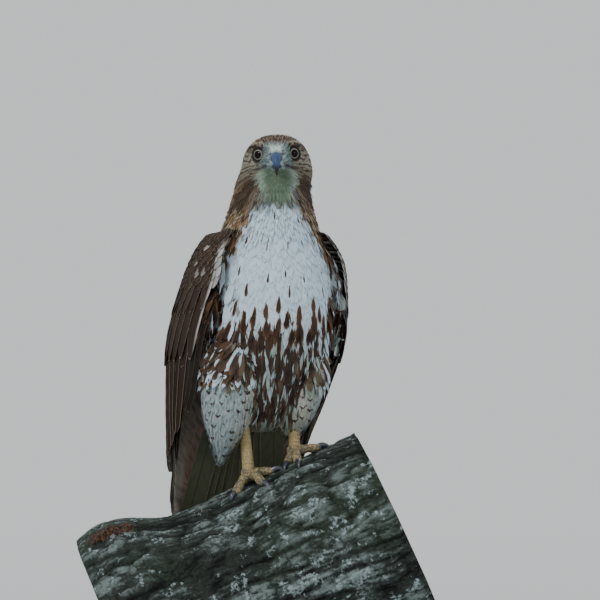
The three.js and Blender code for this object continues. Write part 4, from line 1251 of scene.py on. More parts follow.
def vane_material(name):
    n = Nodes(name)
    u, v, chance = n.parts_of("vane")
    bars, bar_strength, band = n.parts_of("bars")
    edge, _, _ = n.parts_of("vane_look")
    aside = n.math("ABSOLUTE", u)
    slant = n.scaled(aside, -0.12, v)
    streak = n.noise(n.vector(n.times(slant, 46.0), n.times(chance, 41.0), n.times(u, 1.2)), 1.0, 3.0, 0.6)
    fine = n.math("SINE", n.times(slant, 420.0))
    mottle = n.noise(n.vector(n.times(v, 9.0), n.times(u, 2.0), n.times(chance, 23.0)), 1.0, 3.0, 0.6)
    # Dark bars across, drawn by a wobbling wave
    turn = n.times(n.scaled(streak, 0.05, slant), n.times(bars, 2 * math.pi))
    bar = n.times(n.ramp(n.math("SINE", turn), 0.25, 0.8), bar_strength)
    dark = rgb(*(DARK * 0.9))
    base = n.blend(bar, n.colour_of("tint"), dark)
    # One dark band before a pale tip, on the tail only
    away = n.math("ABSOLUTE", n.math("SUBTRACT", n.scaled(streak, 0.012, v), 0.945))
    base = n.blend(n.times(n.ramp(away, 0.022, 0.012), band), base, dark)
    tip = n.math("MAXIMUM", n.math("POWER", aside, 7.0), n.math("POWER", n.math("MAXIMUM", v, 0.0), 30.0))
    base = n.blend(n.times(n.ramp(tip, 0.5, 0.95), edge), base, PALE_EDGE)
    shade = n.scaled(mottle, 0.5, n.scaled(streak, 0.3, 0.62))
    shaft = n.ramp(aside, 0.0, 0.06, 0.55, 1.0)
    shade = n.times(shade, shaft)
    base = n.shaded(base, shade)
    ridge = n.ramp(aside, 0.0, 0.08, 1.0, 0.0)
    n.bump(n.scaled(ridge, 1.2, n.scaled(fine, 0.25, streak)), 0.35, 0.0007)
    return n.finish(base, n.ramp(mottle, 0.3, 0.7, 0.56, 0.74), Specular_IOR_Level=0.10)


WING_BROWN = np.array((0.038, 0.025, 0.019))
PRIMARY_DARK = np.array((0.014, 0.011, 0.009))
UNDER_WING = np.array((0.30, 0.28, 0.25))
COVERT_SPOT = np.array((0.30, 0.28, 0.25))

# Tiers from the lowest to the uppermost: roots and tips as (down the wing, across it)
TIERS = (
    dict(name="primaries", count=8, width=21, root=(-11.5, -11.5), step=1.15, roll=0.2, bow=0, reach=0.3,
         first=((0.42, 0.10), (0.995, 0.36)), last=((0.42, 0.6), (0.84, 0.90)), profile=blade, outer=0.36,
         bars=(9, 0.25, 0), edge=0.22, tint=PRIMARY_DARK),
    dict(name="primary_coverts", count=6, width=14, root=(-7.0, -3.0), step=0.35, roll=0.5, bow=0,
         first=((0.34, 0.02), (0.63, 0.06)), last=((0.34, 0.2), (0.57, 0.26)), profile=covert, outer=0.4,
         bars=(0, 0, 0), edge=0.3, reach=0.1, tint=PRIMARY_DARK * 1.3),
    dict(name="secondaries", count=12, width=24, root=(-8.0, -1.5), step=0.17, roll=1.1, bow=0.045,
         first=((0.36, 0.13), (0.69, 0.21)), last=((0.36, 0.92), (0.79, 0.90)), profile=blade, outer=0.4,
         bars=(7, 0.4, 0), edge=0.5, reach=0.03, tint=WING_BROWN * 0.6),
    dict(name="greater_coverts", count=13, width=20, root=(-8.0, -0.2), step=0.15, roll=1.0, bow=0.01,
         first=((0.24, 0.08), (0.48, 0.10)), last=((0.24, 0.93), (0.46, 0.93)), profile=covert, outer=0.42,
         bars=(3, 0.2, 0), edge=0.6, reach=0.03, tint=WING_BROWN * 0.85),
    dict(name="median_coverts", count=13, width=19, root=(-8.0, 0.2), step=0.15, roll=1.0, bow=0.01,
         first=((0.16, 0.06), (0.36, 0.07)), last=((0.16, 0.94), (0.34, 0.94)), profile=covert, outer=0.42,
         bars=(0, 0, 0), edge=0.6, reach=0.03, tint=WING_BROWN * 1.1),
)
LESSER_ROWS = 11
LESSER_COUNT = 17
LESSER_STEP = 0.0225
LESSER_LENGTH = 0.075
MARGIN_PALE = np.array((0.36, 0.37, 0.36))
MARGIN_SPREAD = 130.0


def wing_vanes(name):
    """The flight feathers and the coverts of a wing, laid from the lowest tier to the uppermost."""
    face = WingFace(name)
    flights = Vanes(26, 9)
    coverts = Vanes(14, 9)

    def spot(root, tip, reach):
        def place(share, across, height):
            s = root[0] + (tip[0] - root[0]) * share
            t = root[1] + (tip[1] - root[1]) * share
            points, out = face.aside(s, t, across, reach)
            return points + out * height[:, None]
        return place

    def lay(gather, tier, k, count, order):
        share = k / (count - 1)
        first, last = np.array(tier["first"]), np.array(tier["last"])
        root, tip = first * (1 - share) + last * share
        tip[0] = min(0.995, tip[0] + tier["bow"] * math.sin(math.pi * share) + 0.006 * rng.normal())
        tip[1] += 0.006 * rng.normal()
        low, high = tier["root"]
        low, high = low + (tier["step"] * k if low == high else 0), high + tier["step"] * k
        covering = tier["name"] not in ("primaries", "secondaries", "primary_coverts")
        spotted = tier["name"] == "lesser" and rng.random() < 0.03
        tint = tier["tint"] * (0.7 + 0.65 * rng.random())
        tint = COVERT_SPOT * (0.6 + 0.4 * rng.random()) if spotted else tint

        def margin(tints, v, across):
            """The leading edge of the wing is pale."""
            s, t = (root[i] + (tip[i] - root[i]) * v for i in (0, 1))
            wide = 0.012 + 0.05 * s + (0.12 if name == "wing_left" else 0)
            edge_share = smoothstep(wide + 0.02, wide, t + across / MARGIN_SPREAD) * smoothstep(0.06, 0.14, s)
            edge_share = edge_share * smoothstep(0.66, 0.58, s)
            return mix(tints, MARGIN_PALE * (0.75 + 0.5 * rng.random()), edge_share)

        def lift(v):
            return low + (high - low) * np.minimum(1, v / 0.3) + (1.2 * v * v if covering else 0)

        width = tier["width"] * (1 + 0.06 * rng.normal())
        edge = tier["edge"] * (0.6 + 0.6 * rng.random())
        gather.add(spot(root, tip, tier["reach"]), width, tier["profile"], lift, tier["roll"], tier["outer"],
                   tint, UNDER_WING * 0.8, tier["bars"], edge, order, margin if covering else None)

    for row, tier in enumerate(TIERS):
        gather = flights if tier["name"] in ("primaries", "secondaries") else coverts
        for k in range(tier["count"]):
            lay(gather, tier, k, tier["count"], (row, k))
    for row in range(LESSER_ROWS - 1, -1, -1):
        s = LESSER_STEP * row
        shift = 0.5 * (row % 2) / LESSER_COUNT
        first, last = (((s, t + shift), (s + LESSER_LENGTH, t + shift)) for t in (0.02, 0.93))
        top = 0.6 + 0.05 * (LESSER_ROWS - row)
        tier = dict(name="lesser", width=14.5, root=(-8.0, top), step=0, roll=0.8, bow=0, reach=0.02,
                    first=first, last=last, profile=covert, outer=0.45, bars=(0, 0, 0), edge=0.85,
                    tint=WING_BROWN)
        for k in range(LESSER_COUNT):
            lay(coverts, tier, k, LESSER_COUNT, (9 + row, k))
    return flights, coverts


RECTRICES = 12
RECTRIX = dict(width=33, step=1.3, roll=0.3, root=0.14, fan=0.86, shorten=0.035)
TAIL_RED = np.array((0.30, 0.105, 0.042))
# The tail's underside: its dark olive is painted shade over a paler underside
TAIL_UNDER_SHADED = np.array((0.085, 0.092, 0.060))


def tail_vanes():
    """Tail feathers in a fan, with the middle pair uppermost."""
    gather = Vanes(26, 11)
    half_count = RECTRICES / 2
    for k in range(RECTRICES):
        t = ((k + 0.5) / half_count - 1) * RECTRIX["fan"]
        layer = half_count - abs(k + 0.5 - half_count) + (0.45 if k < half_count else 0)
        length = 1 - RECTRIX["shorten"] * t * t + 0.006 * rng.normal()
        lift = (layer - half_count / 2) * RECTRIX["step"]

        def spot(share, across, height, t=t, length=length):
            s = RECTRIX["root"] + (length - RECTRIX["root"]) * share
            half = tail_point(s, np.ones_like(s))[:, 0] - TAIL_SIDE
            aside = t + across / half
            return tail_point(s, aside) + tail_outward(s, aside) * height[:, None]

        outer = 0.42 if t < 0 else 0.58
        gather.add(spot, RECTRIX["width"], quill, lambda v, lift=lift: np.full_like(v, lift),
                   math.copysign(RECTRIX["roll"], t), outer, TAIL_RED * (0.9 + 0.2 * rng.random()),
                   TAIL_UNDER_SHADED, (9, 0.1, 1.0), 0.25, (0, k))
    return gather


# Eyes and their lids

def eye_piece(name, side):
    """An eyeball with the rise of its cornea."""
    rows, columns = 40, 48
    theta, around = grid(np.linspace(0.001, math.pi - 0.001, rows), circle(columns))
    radius = EYE_RADIUS + CORNEA_RISE * bell(theta, 0, CORNEA_SPREAD) - EYE_INSET
    local = stack(np.sin(theta) * np.cos(around), np.sin(theta) * np.sin(around), np.cos(theta))
    points = eye_centre(side) + radius[:, None] * (local @ eye_frame(side))
    faces = grid_faces(rows, columns, closed=True)
    piece = mesh_object(name, world_from_bird(moved(points, HEAD)), faces[:, ::-1])
    set_vectors(piece, "gaze", stack(np.degrees(theta), np.cos(around), np.sin(around)))
    return piece


def eye_material():
    n = Nodes("eye_wet")
    angle, c, s = n.parts_of("gaze")
    fibres = n.noise(n.vector(n.times(c, 9.0), n.times(s, 9.0), n.times(angle, 0.04)), 1.0, 4.0, 0.65)
    cloud = n.noise(n.vector(c, s, n.times(angle, 0.12)), 1.4, 2.0)
    iris = n.blend(fibres, rgb(0.13, 0.12, 0.095), rgb(0.36, 0.35, 0.29))
    iris = n.blend(n.times(cloud, 0.5), iris, rgb(0.20, 0.175, 0.125))
    iris = n.blend(n.ramp(angle, 35.0, 39.5), iris, rgb(0.012, 0.010, 0.009))
    iris = n.blend(n.ramp(angle, 29.4, 27.8), iris, rgb(0.002, 0.002, 0.002))
    n.bump(fibres, 0.05, 0.0003)
    return n.finish(iris, 0.5, Specular_IOR_Level=0.0, Coat_Weight=0.25, Coat_Roughness=0.02)


# The lids' rims, from the opening outwards
LID_RIMS = (
    dict(radius=7.9, forward=7.6, across=0.75, over=0.9, squeeze=0.88),
    dict(radius=9.4, forward=6.9, across=1.3, over=1.3, squeeze=0.91),
    dict(radius=11.0, forward=5.4, across=1.3, over=1.4, squeeze=0.95),
)


def lid_rim(side, radius, forward, across, over, squeeze):
    """A fold of skin round the eye, a little flatter at the top."""
    count, sides = 64, 10
    right, up, axis = eye_frame(side)
    angle = np.linspace(0, 2 * math.pi, count, endpoint=False)
    over_eye = np.maximum(np.sin(angle), 0)
    flat = 1 - (1 - squeeze) * over_eye ** 0.5
    out = np.cos(angle)[:, None] * right + (np.sin(angle) * flat)[:, None] * up
    centres = eye_centre(side) + out * radius + axis * forward
    ring = circle(sides)
    ripple = 1 + 0.05 * np.sin(angle * 23) + 0.04 * np.sin(angle * 37 + 1) + 0.45 * over_eye
    points = (centres[:, None] + out[:, None] * (across * ripple[:, None] * np.cos(ring))[..., None]
              + axis * (over * np.sin(ring))[None, :, None])
    quads = grid_faces(count + 1, sides, closed=True) % (count * sides)
    return points.reshape(-1, 3), quads


def lid_piece(name, side):
    points, faces = joined([lid_rim(side, **rim) for rim in LID_RIMS])
    return mesh_object(name, world_from_bird(moved(points, HEAD)), faces)


def lid_material():
    n = Nodes("lid_skin")
    grain = n.cells(n.place(), 900.0)
    tone = n.noise(n.place(), 260.0, 3.0)
    colour = n.blend(tone, rgb(0.006, 0.006, 0.006), rgb(0.020, 0.019, 0.017))
    n.bump(grain, 0.4, 0.0004)
    return n.finish(colour, 0.5, Specular_IOR_Level=0.2)


# Bill: sections from its root under the feathers to the hook

UPPER_BILL = ((-30, -4, 8.8, 8), (-43, -3.8, 7.9, 8.2), (-48.5, -4.8, 6.8, 7.8), (-54, -8, 5.6, 7),
              (-58, -13, 4.7, 6), (-60, -19, 3.5, 4.6), (-60, -24.5, 2.1, 2.8), (-58.4, -29.2, 0.7, 0.8))
LOWER_BILL = ((-30, -16.5, 8.4, 4), (-42, -16.2, 6.2, 3.8), (-49, -16, 4.2, 3.0), (-53.0, -15.6, 2.2, 1.8))
NOSTRIL = np.array((6.4, -48.6, -0.8))
NOSTRIL_DEPTH = 2.2
CERE_SWELL = 1.3
CERE_MIDDLE = 0.17


def near_nostril(places, side, shift, size, sharpness):
    """1 in the nostril of a side, falling off over its size."""
    away = (places - NOSTRIL * (side * shift, 1, 1)) / size
    return np.exp(-(away ** 2).sum(axis=1) * sharpness)


def bill_piece(name, stations, upper):
    """Half of the bill as rings round its stations, which end in a point."""
    rows, sides = 72, 44
    t = np.linspace(0, 1, rows)
    table = np.array(stations, float)
    place = spline(table[:, :2], t)
    half = spline(table[:, 2:], t)
    step = 0.01
    after, before = (spline(table[:, :2], np.clip(t + move, 0, 1)) for move in (step, -step))
    ahead = unit(after - before)
    angle = circle(sides)
    sine = np.sin(angle)
    keel = np.where(sine > 0, 1 - 0.15 * sine, 1.0)
    edge = 1 + (0.05 * bell(sine, -0.55, 0.25) if upper else 0)
    x = half[:, :1] * np.cos(angle) * keel * edge
    swell = CERE_SWELL * bell(t, CERE_MIDDLE, 0.07) if upper else 0 * t
    up = (half[:, 1:] + swell[:, None]) * sine
    points = np.stack([x, place[:, :1] + up * ahead[:, 1:], place[:, 1:] - up * ahead[:, :1]], axis=-1)
    flat = points.reshape(-1, 3)
    if upper:
        for side in (-1, 1):
            flat[:, 0] -= side * NOSTRIL_DEPTH * near_nostril(flat, side, 1.0, (3.0, 2.2, 1.7), 1.4)
    tip = np.repeat(place[-1:], sides, axis=0)
    cap = np.concatenate([np.zeros((sides, 1)), tip], axis=1)
    flat = np.vstack([flat, cap])
    piece = mesh_object(name, world_from_bird(moved(flat, HEAD)), grid_faces(rows + 1, sides, closed=True))
    along = np.append(np.repeat(t, sides), np.ones(sides))
    over = np.append(np.tile(sine, rows), np.zeros(sides))
    pits = np.maximum(*(near_nostril(flat, side, 0.9, (3.4, 2.4, 1.7), 1.6) for side in (-1, 1)))
    set_vectors(piece, "horn", stack(along, pits, over))
    return piece


def bill_material(upper):
    n = Nodes("bill_upper_horn" if upper else "bill_lower_horn")
    along, pit, level = n.parts_of("horn")
    grain = n.noise(n.stretched((1.0, 1.0, 0.35)), 420.0, 4.0)
    blotch = n.noise(n.place(), 130.0, 3.0)
    # Lighter on top and darker down the sides and underneath: painted light from above and painted shade
    # below, over the cere's green and the horn's blue
    cere = n.blend(blotch, rgb(0.30, 0.40, 0.36), rgb(0.16, 0.24, 0.26))
    cere_side = n.blend(blotch, rgb(0.05, 0.08, 0.12), rgb(0.12, 0.17, 0.19))
    cere = n.blend(n.ramp(level, 0.35, 0.9), cere_side, cere)
    blue_horn = n.blend(blotch, rgb(0.013, 0.034, 0.100), rgb(0.036, 0.078, 0.190))
    blue_horn = n.blend(n.ramp(level, 0.5, -0.3), blue_horn, rgb(0.016, 0.032, 0.070))
    start = n.scaled(blotch, 0.05, n.scaled(level, -0.05, along))
    colour = n.blend(n.ramp(start, 0.245, 0.30), cere, blue_horn)
    colour = n.blend(n.ramp(start, 0.56, 0.75), colour, rgb(0.006, 0.006, 0.008))
    colour = n.blend(n.ramp(pit, 0.35, 0.8), colour, rgb(0.01, 0.01, 0.01))
    n.bump(grain, 0.12, 0.0004)
    wear = n.ramp(grain, 0.3, 0.7, 0.34, 0.5)
    return n.finish(colour, wear, Specular_IOR_Level=0.3, Coat_Weight=0.1, Coat_Roughness=0.3)


# Limb: the solid's long ridges, with furrows, plates and a knot worked finer

LIMB_RADIUS = 140
LIMB_LENGTH = 390
LIMB_SLOPE = math.radians(25)
LIMB_CENTRE_HEIGHT = 246
BARK_RIDGES = 11
BARK_RELIEF = 2.6
KNOT_ALONG = -158
KNOT_SPREAD = 72
KNOT_RISE = 31


def limb_radius(along, angle):
    """The solid's radius; the angle is 0 at the top and grows to the back."""
    ridges = BARK_RELIEF * np.sin(BARK_RIDGES * angle + 0.9 * np.sin(along / 46))
    top = np.maximum(0, np.cos(angle + 0.25)) ** 2
    knot = KNOT_RISE * top * bell(along, KNOT_ALONG, KNOT_SPREAD)
    calm = 1 - bell(angle, 0, 0.42)
    return LIMB_RADIUS + ridges * calm + knot + 1.5 * np.sin(along / 37 + 2 * angle)


LIMB = np.array(Matrix.Translation((0, 0, LIMB_CENTRE_HEIGHT)) @ Matrix.Rotation(-LIMB_SLOPE, 4, "Y"))


def limb_top_at(x, y):
    """Height of the limb's top over a place of the bird's frame, in that frame."""
    place = moved(np.array([[x, y, 0.0]]), BIRD)[0]
    guess = math.sqrt(max(0, LIMB_RADIUS ** 2 - place[1] ** 2)) / math.cos(LIMB_SLOPE)
    return LIMB_CENTRE_HEIGHT + place[0] * math.tan(LIMB_SLOPE) + guess - FEET_PLACE.z


# Legs: plates down the front of the shank and over the toes, small scales elsewhere

SHANK_RADIUS = 7.2
SHANK_SINK = 0.5
SHANK_FLARE = 1.3
SHANK_DEPTH = 1.12
FRONT_PLATE = 5.0
BACK_PLATE = 6.1
TOE_PLATE = 4.2
HOCK_HEIGHT = 84
HOCK_BACK = 6
TOE_RADIUS = 6.4
TOE_ARCH = 2.2
FOOT_RISE = 7
BALL_EXTRA = (3.6, 3.1, 0.2)
TALON_RADIUS = 3.6
TALON_SWELL = 1.3
TALON_RISE = 0.62
TALON_CURL = 2.05
TOE_PADS = (1.12, 0.98, 1.08, 0.9, 0.98, 0.82, 0.7)

# Toes as the turn from straight ahead towards the bird's left, their length and their talon's
LEGS = {
    "left": dict(side=33, ankle=36, forward=-10, toes=dict(
        inner=(-38, 30, 24), middle=(-14, 42, 22), outer=(62, 34, 18), hind=(172, 24, 26))),
    "right": dict(side=-30, ankle=-38, forward=-10, toes=dict(
        inner=(58, 32, 24), middle=(8, 42, 22), outer=(-52, 34, 18), hind=(186, 24, 26))),
}


def plates(along, angle, pitch, front):
    """Relief of broad plates across one side of a limb, with a groove between them."""
    part = np.abs(((along / pitch) + 0.5) % 1 - 0.5) * 2
    groove = bell(part, 1, 0.16)
    facing = smoothstep(-0.1, 0.5, np.cos(angle - front))
    return facing * (0.35 - 0.75 * groove + 0.12 * (1 - part))


def shank_piece(name, leg):
    """The bare shank from the foot up to the hock."""
    rows, sides = 90, 40
    t = np.linspace(0, 1, rows)
    low = limb_top_at(leg["side"], leg["forward"]) + FOOT_RISE
    centre = stack(leg["side"] + (leg["ankle"] - leg["side"]) * t,
                   leg["forward"] + (HOCK_BACK - leg["forward"]) * t ** 1.6,
                   low + (HOCK_HEIGHT - low) * t)
    angle = circle(sides)
    radius = SHANK_RADIUS - SHANK_SINK + SHANK_FLARE * (2 * t - 1) ** 2
    height = centre[:, 2] - low
    relief = (1.5 * plates(height[:, None], angle, FRONT_PLATE, -math.pi / 2)
              + 0.9 * plates(height[:, None] + 2.7, angle, BACK_PLATE, math.pi / 2))
    reach = radius[:, None] + relief
    x = centre[:, :1] + reach * np.cos(angle)
    y = centre[:, 1:2] + SHANK_DEPTH * reach * np.sin(angle)
    points = np.stack([x, y, np.repeat(centre[:, 2:], sides, axis=1)], axis=-1).reshape(-1, 3)
    return mesh_object(name, world_from_bird(points), grid_faces(rows, sides, closed=True))


def toe_line(leg, toe, t):
    """Points along the middle of a toe, which arches over the bark."""
    turn, length, _ = toe
    ahead = np.array((math.sin(math.radians(turn)), -math.cos(math.radians(turn))))
    points = []
    for share in t:
        x, y = np.array((leg["side"], leg["forward"])) + ahead * length * share
        arch = FOOT_RISE * (1 - share) ** 2 + TOE_ARCH * math.sin(math.pi * share)
        points.append((x, y, limb_top_at(x, y) + TOE_RADIUS - 1 + arch - TOE_ARCH * share))
    return np.array(points)


def foot_piece(name, leg):
    """The ball of the foot and four toes, melted together."""
    parts = []
    rows, sides = 60, 28
    angle = circle(sides)
    t = np.linspace(0, 1, rows)
    for toe in leg["toes"].values():
        line = toe_line(leg, toe, t)
        ahead = unit(np.gradient(line, axis=0))
        across = unit(np.cross(ahead, (0, 0, 1)))
        over = np.cross(across, ahead)
        radius = np.interp(t, np.linspace(0, 1, len(TOE_PADS)), TOE_PADS) * TOE_RADIUS - 0.3
        radius *= np.sqrt(np.clip(1 - np.maximum(0, (t - 0.94) / 0.075) ** 2, 0.05, 1))
        relief = 1.5 * plates(t[:, None] * toe[1], angle, TOE_PLATE, math.pi / 2)
        pads = 1.1 * np.sin(t * 3 * math.pi)[:, None] * smoothstep(0.9, -0.4, np.sin(angle))
        reach = radius[:, None] + relief + pads
        rings = loops_round(line, across, over, reach * np.cos(angle), reach * np.sin(angle))
        caps = np.repeat(line[[0, -1]][:, None], sides, axis=1)
        points = np.concatenate([caps[:1], rings, caps[1:]])
        parts.append((points.reshape(-1, 3), grid_faces(rows + 2, sides, closed=True)))
    low = limb_top_at(leg["side"], leg["forward"])
    theta = np.linspace(0, math.pi, 24)
    wide, deep, high = (SHANK_RADIUS + more for more in BALL_EXTRA)
    ball = np.stack([np.sin(theta)[:, None] * np.cos(angle) * wide,
                     np.sin(theta)[:, None] * np.sin(angle) * deep,
                     np.cos(theta)[:, None] * np.ones(sides) * high], axis=-1)
    ball += (leg["side"], leg["forward"], low + SHANK_RADIUS + FOOT_RISE)
    parts.append((ball.reshape(-1, 3), grid_faces(24, sides, closed=True)))
    points, faces = joined(parts)
    return mesh_object(name, world_from_bird(points), faces)


def talon_piece(name, leg, toe):
    """A talon curves on from its toe and down to the bark."""
    steps, rings, sides = 30, 5, 16
    line = toe_line(leg, toe, np.array((5 / 6, 1.0)))
    root = line[1]
    ahead = unit(line[1] - line[0])
    flat = unit(ahead * (1, 1, 0))
    pitch = math.atan2(ahead[2], math.hypot(ahead[0], ahead[1]))
    place, points = root - ahead * 1.5, []
    for i in range(steps + 1):
        points.append(place.copy())
        stepped = math.floor(i * rings / steps) / rings
        bend = pitch + TALON_RISE - TALON_CURL * (stepped * 0.5 + 0.5 * i / steps)
        place = place + (flat * math.cos(bend) + np.array((0, 0, math.sin(bend)))) * toe[2] / steps
    points = np.array(points)
    share = np.linspace(0, 1, steps + 1)
    radius = np.maximum(0.3, TALON_RADIUS * TALON_SWELL * (1 - share) ** 0.65)
    heading = unit(np.gradient(points, axis=0))
    across = unit(np.cross(heading, (0, 0, 1.0)))
    over = np.cross(across, heading)
    # Both ends are drawn in to a small ring, so that they look closed
    rows = np.concatenate([[0], np.arange(steps + 1), [steps]])
    wide, high = (np.concatenate([[1e-3], radius * part, [1e-3]]) for part in (0.86, 1.06))
    rings = loops_round(points[rows], across[rows], over[rows], wide[:, None] * np.cos(circle(sides)),
                        high[:, None] * np.sin(circle(sides)))
    quads = grid_faces(len(rows), sides, closed=True)
    piece = mesh_object(name, world_from_bird(rings.reshape(-1, 3)), quads)
    along = np.repeat(share[rows], sides)
    set_vectors(piece, "horn", stack(along, 0 * along, 0 * along))
    return piece


def leg_material(name, dust, soil):
    n = Nodes(name)
    scales = n.cells(n.place(), 560.0)
    tone = n.noise(n.place(), 90.0, 3.0)
    dirt = n.noise(n.place(), 320.0, 4.0, 0.6)
    colour = n.blend(tone, rgb(0.36, 0.26, 0.090), rgb(0.52, 0.43, 0.21))
    colour = n.blend(n.times(n.ramp(scales, 0.16, 0.0), 0.75), colour, rgb(0.10, 0.072, 0.04))
    colour = n.blend(n.times(n.ramp(dirt, 0.36, 0.58), dust), colour, soil)
    n.bump(n.ramp(scales, 0.0, 0.22), 0.5, 0.0005)
    return n.finish(colour, n.ramp(dirt, 0.3, 0.7, 0.48, 0.7), Specular_IOR_Level=0.35)


def talon_material():
    n = Nodes("talon_horn")
    along, _, _ = n.parts_of("horn")
    grain = n.noise(n.place(), 380.0, 4.0)
    colour = n.blend(grain, rgb(0.012, 0.014, 0.022), rgb(0.050, 0.056, 0.080))
    colour = n.blend(n.ramp(along, 0.16, 0.0), colour, rgb(0.12, 0.105, 0.08))
    n.bump(grain, 0.15, 0.0003)
    return n.finish(colour, n.ramp(grain, 0.3, 0.7, 0.22, 0.42), Coat_Weight=0.4, Coat_Roughness=0.2)


# Bark, worked over the solid's ridges

def limb_points(along, angle, drop):
    """Places of the bark in the limb's frame, under the solid's radius by the drop."""
    radius = limb_radius(along, angle) - drop
    return np.stack([along, radius * np.sin(angle), radius * np.cos(angle)], axis=-1)


# The torn place's middle along the limb and round it, and its half length and half turn
TORN_PLACE = (-146.0, -0.43)
TORN_LENGTH = 34
TORN_TURN = 0.10

# The bark is flat under the feet, over these half lengths
CALM_ALONG = 42
CALM_ROUND = 46
BARK_DEPTH = 17.0
BARK_LEVEL = 0.66
BARK_ROWS = 340
BARK_COLUMNS = 640

# Length and width of the bumps in millimetres, strength and seed, from broad plates to small scales
BARK_LAYERS = ((130, 44, 0.9, 3), (62, 21, 0.9, 5), (30, 10, 0.7, 7), (12, 5, 0.45, 11))

# The same for how far the furrows sway to the side, with the strength in millimetres
BARK_SWAY = ((90, 95, 26, 17), (27, 36, 9, 19))


def bark_noise(along, angle, long, wide, seed):
    """Soft random bumps, long down the limb and narrow round it, that close round the limb."""
    columns = round(2 * math.pi * LIMB_RADIUS / wide)
    rows = math.ceil(LIMB_LENGTH * 1.4 / long) + 2
    table = np.random.default_rng(seed).random((rows, columns))
    x = (along + LIMB_LENGTH * 0.7) / long
    y = (angle / (2 * math.pi)) % 1 * columns
    i, j = np.floor(x).astype(int), np.floor(y).astype(int)
    share_x, share_y = smoothstep(0, 1, x - i), smoothstep(0, 1, y - j)
    low = table[i, j % columns] * (1 - share_y) + table[i, (j + 1) % columns] * share_y
    high = table[i + 1, j % columns] * (1 - share_y) + table[i + 1, (j + 1) % columns] * share_y
    return low * (1 - share_x) + high * share_x


def bark_height(along, angle):
    """From 0 deep in a furrow to about 1 on a plate."""
    sway = sum(strength * (bark_noise(along, angle, long, wide, seed) - 0.5)
               for long, wide, strength, seed in BARK_SWAY)
    total, whole = 0, 0
    for long, wide, strength, seed in BARK_LAYERS:
        bumps = bark_noise(along, angle + sway / LIMB_RADIUS, long, wide, seed)
        total = total + strength * np.abs(2 * bumps - 1) ** 0.4
        whole += strength
    return total / whole


def foot_places():
    """Where the feet stand, along the limb and round it."""
    places = []
    for leg in LEGS.values():
        x, y, _ = moved(np.array([[leg["side"], leg["forward"], 0.0]]), BIRD)[0]
        along = x / math.cos(LIMB_SLOPE) + LIMB_RADIUS * math.tan(LIMB_SLOPE)
        places.append((along, math.asin(y / LIMB_RADIUS)))
    return places


def bark_drop(along, angle):
    """How far the bark lies under the solid's radius, and its height and torn parts."""
    height = bark_height(along, angle)
    drop = BARK_DEPTH * (BARK_LEVEL - height)
    for place, turn in foot_places():
        calm = bell(along, place, CALM_ALONG) * bell((angle - turn) * LIMB_RADIUS, 0, CALM_ROUND)
        drop = drop * (1 - 0.85 * calm) + 0.4 * calm
    torn = bell(along, TORN_PLACE[0], TORN_LENGTH) * bell(angle, TORN_PLACE[1], TORN_TURN)
    lumps = np.sin(along / 3.1 + 4 * np.sin(angle * 19)) * np.sin(angle * 47 + along / 5)
    return drop - torn * (3.5 + 3.2 * lumps), height, torn


def bark_angles():
    """Angles round the limb, from the top and up to half a turn either way."""
    angle = circle(BARK_COLUMNS)
    return np.where(angle > math.pi, angle - 2 * math.pi, angle)


def limb_piece():
    """The bark as one sheet round the limb, with plates and furrows."""
    along = np.linspace(-LIMB_LENGTH / 2, LIMB_LENGTH / 2, BARK_ROWS)[:, None] + np.zeros(BARK_COLUMNS)
    angle = bark_angles() + np.zeros((BARK_ROWS, 1))
    drop, height, torn = bark_drop(along, angle)
    points = limb_points(along, angle, drop)
    bark = mesh_object("bark_piece", moved(points.reshape(-1, 3), LIMB) * MM,
                       grid_faces(BARK_ROWS, BARK_COLUMNS, closed=True)[:, ::-1])
    look = np.stack([torn, height, np.zeros_like(torn)], axis=-1)
    set_vectors(bark, "bark_look", look.reshape(-1, 3))
    local = np.stack([along, np.sin(angle) * LIMB_RADIUS, np.cos(angle) * LIMB_RADIUS], axis=-1)
    set_vectors(bark, "grain", local.reshape(-1, 3) * MM)
    return bark


def sawn_piece(name, end):
    """A sawn end: rings of points from the pith to the bark, with light saw marks."""
    rows, columns = 60, BARK_COLUMNS
    angle = bark_angles()
    along = np.full(columns, end * LIMB_LENGTH / 2)
    share = np.linspace(0.002, 1, rows)[:, None]
    rim = limb_radius(along, angle) - bark_drop(along, angle)[0]
    radius = rim * share
    relief = -0.35 * np.abs(np.sin(radius / 3.1)) - 2.0 * bell(share, 0, 0.02)
    points = np.stack([end * (LIMB_LENGTH / 2 + relief) + np.zeros_like(radius), radius * np.sin(angle),
                       radius * np.cos(angle)], axis=-1).reshape(-1, 3)
    faces = grid_faces(rows, columns, closed=True)
    piece = mesh_object(name, moved(points, LIMB) * MM, faces if end > 0 else faces[:, ::-1])
    seam = np.stack([radius * MM, share + np.zeros_like(radius), np.zeros_like(radius)], axis=-1)
    set_vectors(piece, "rings", seam.reshape(-1, 3))
    return piece


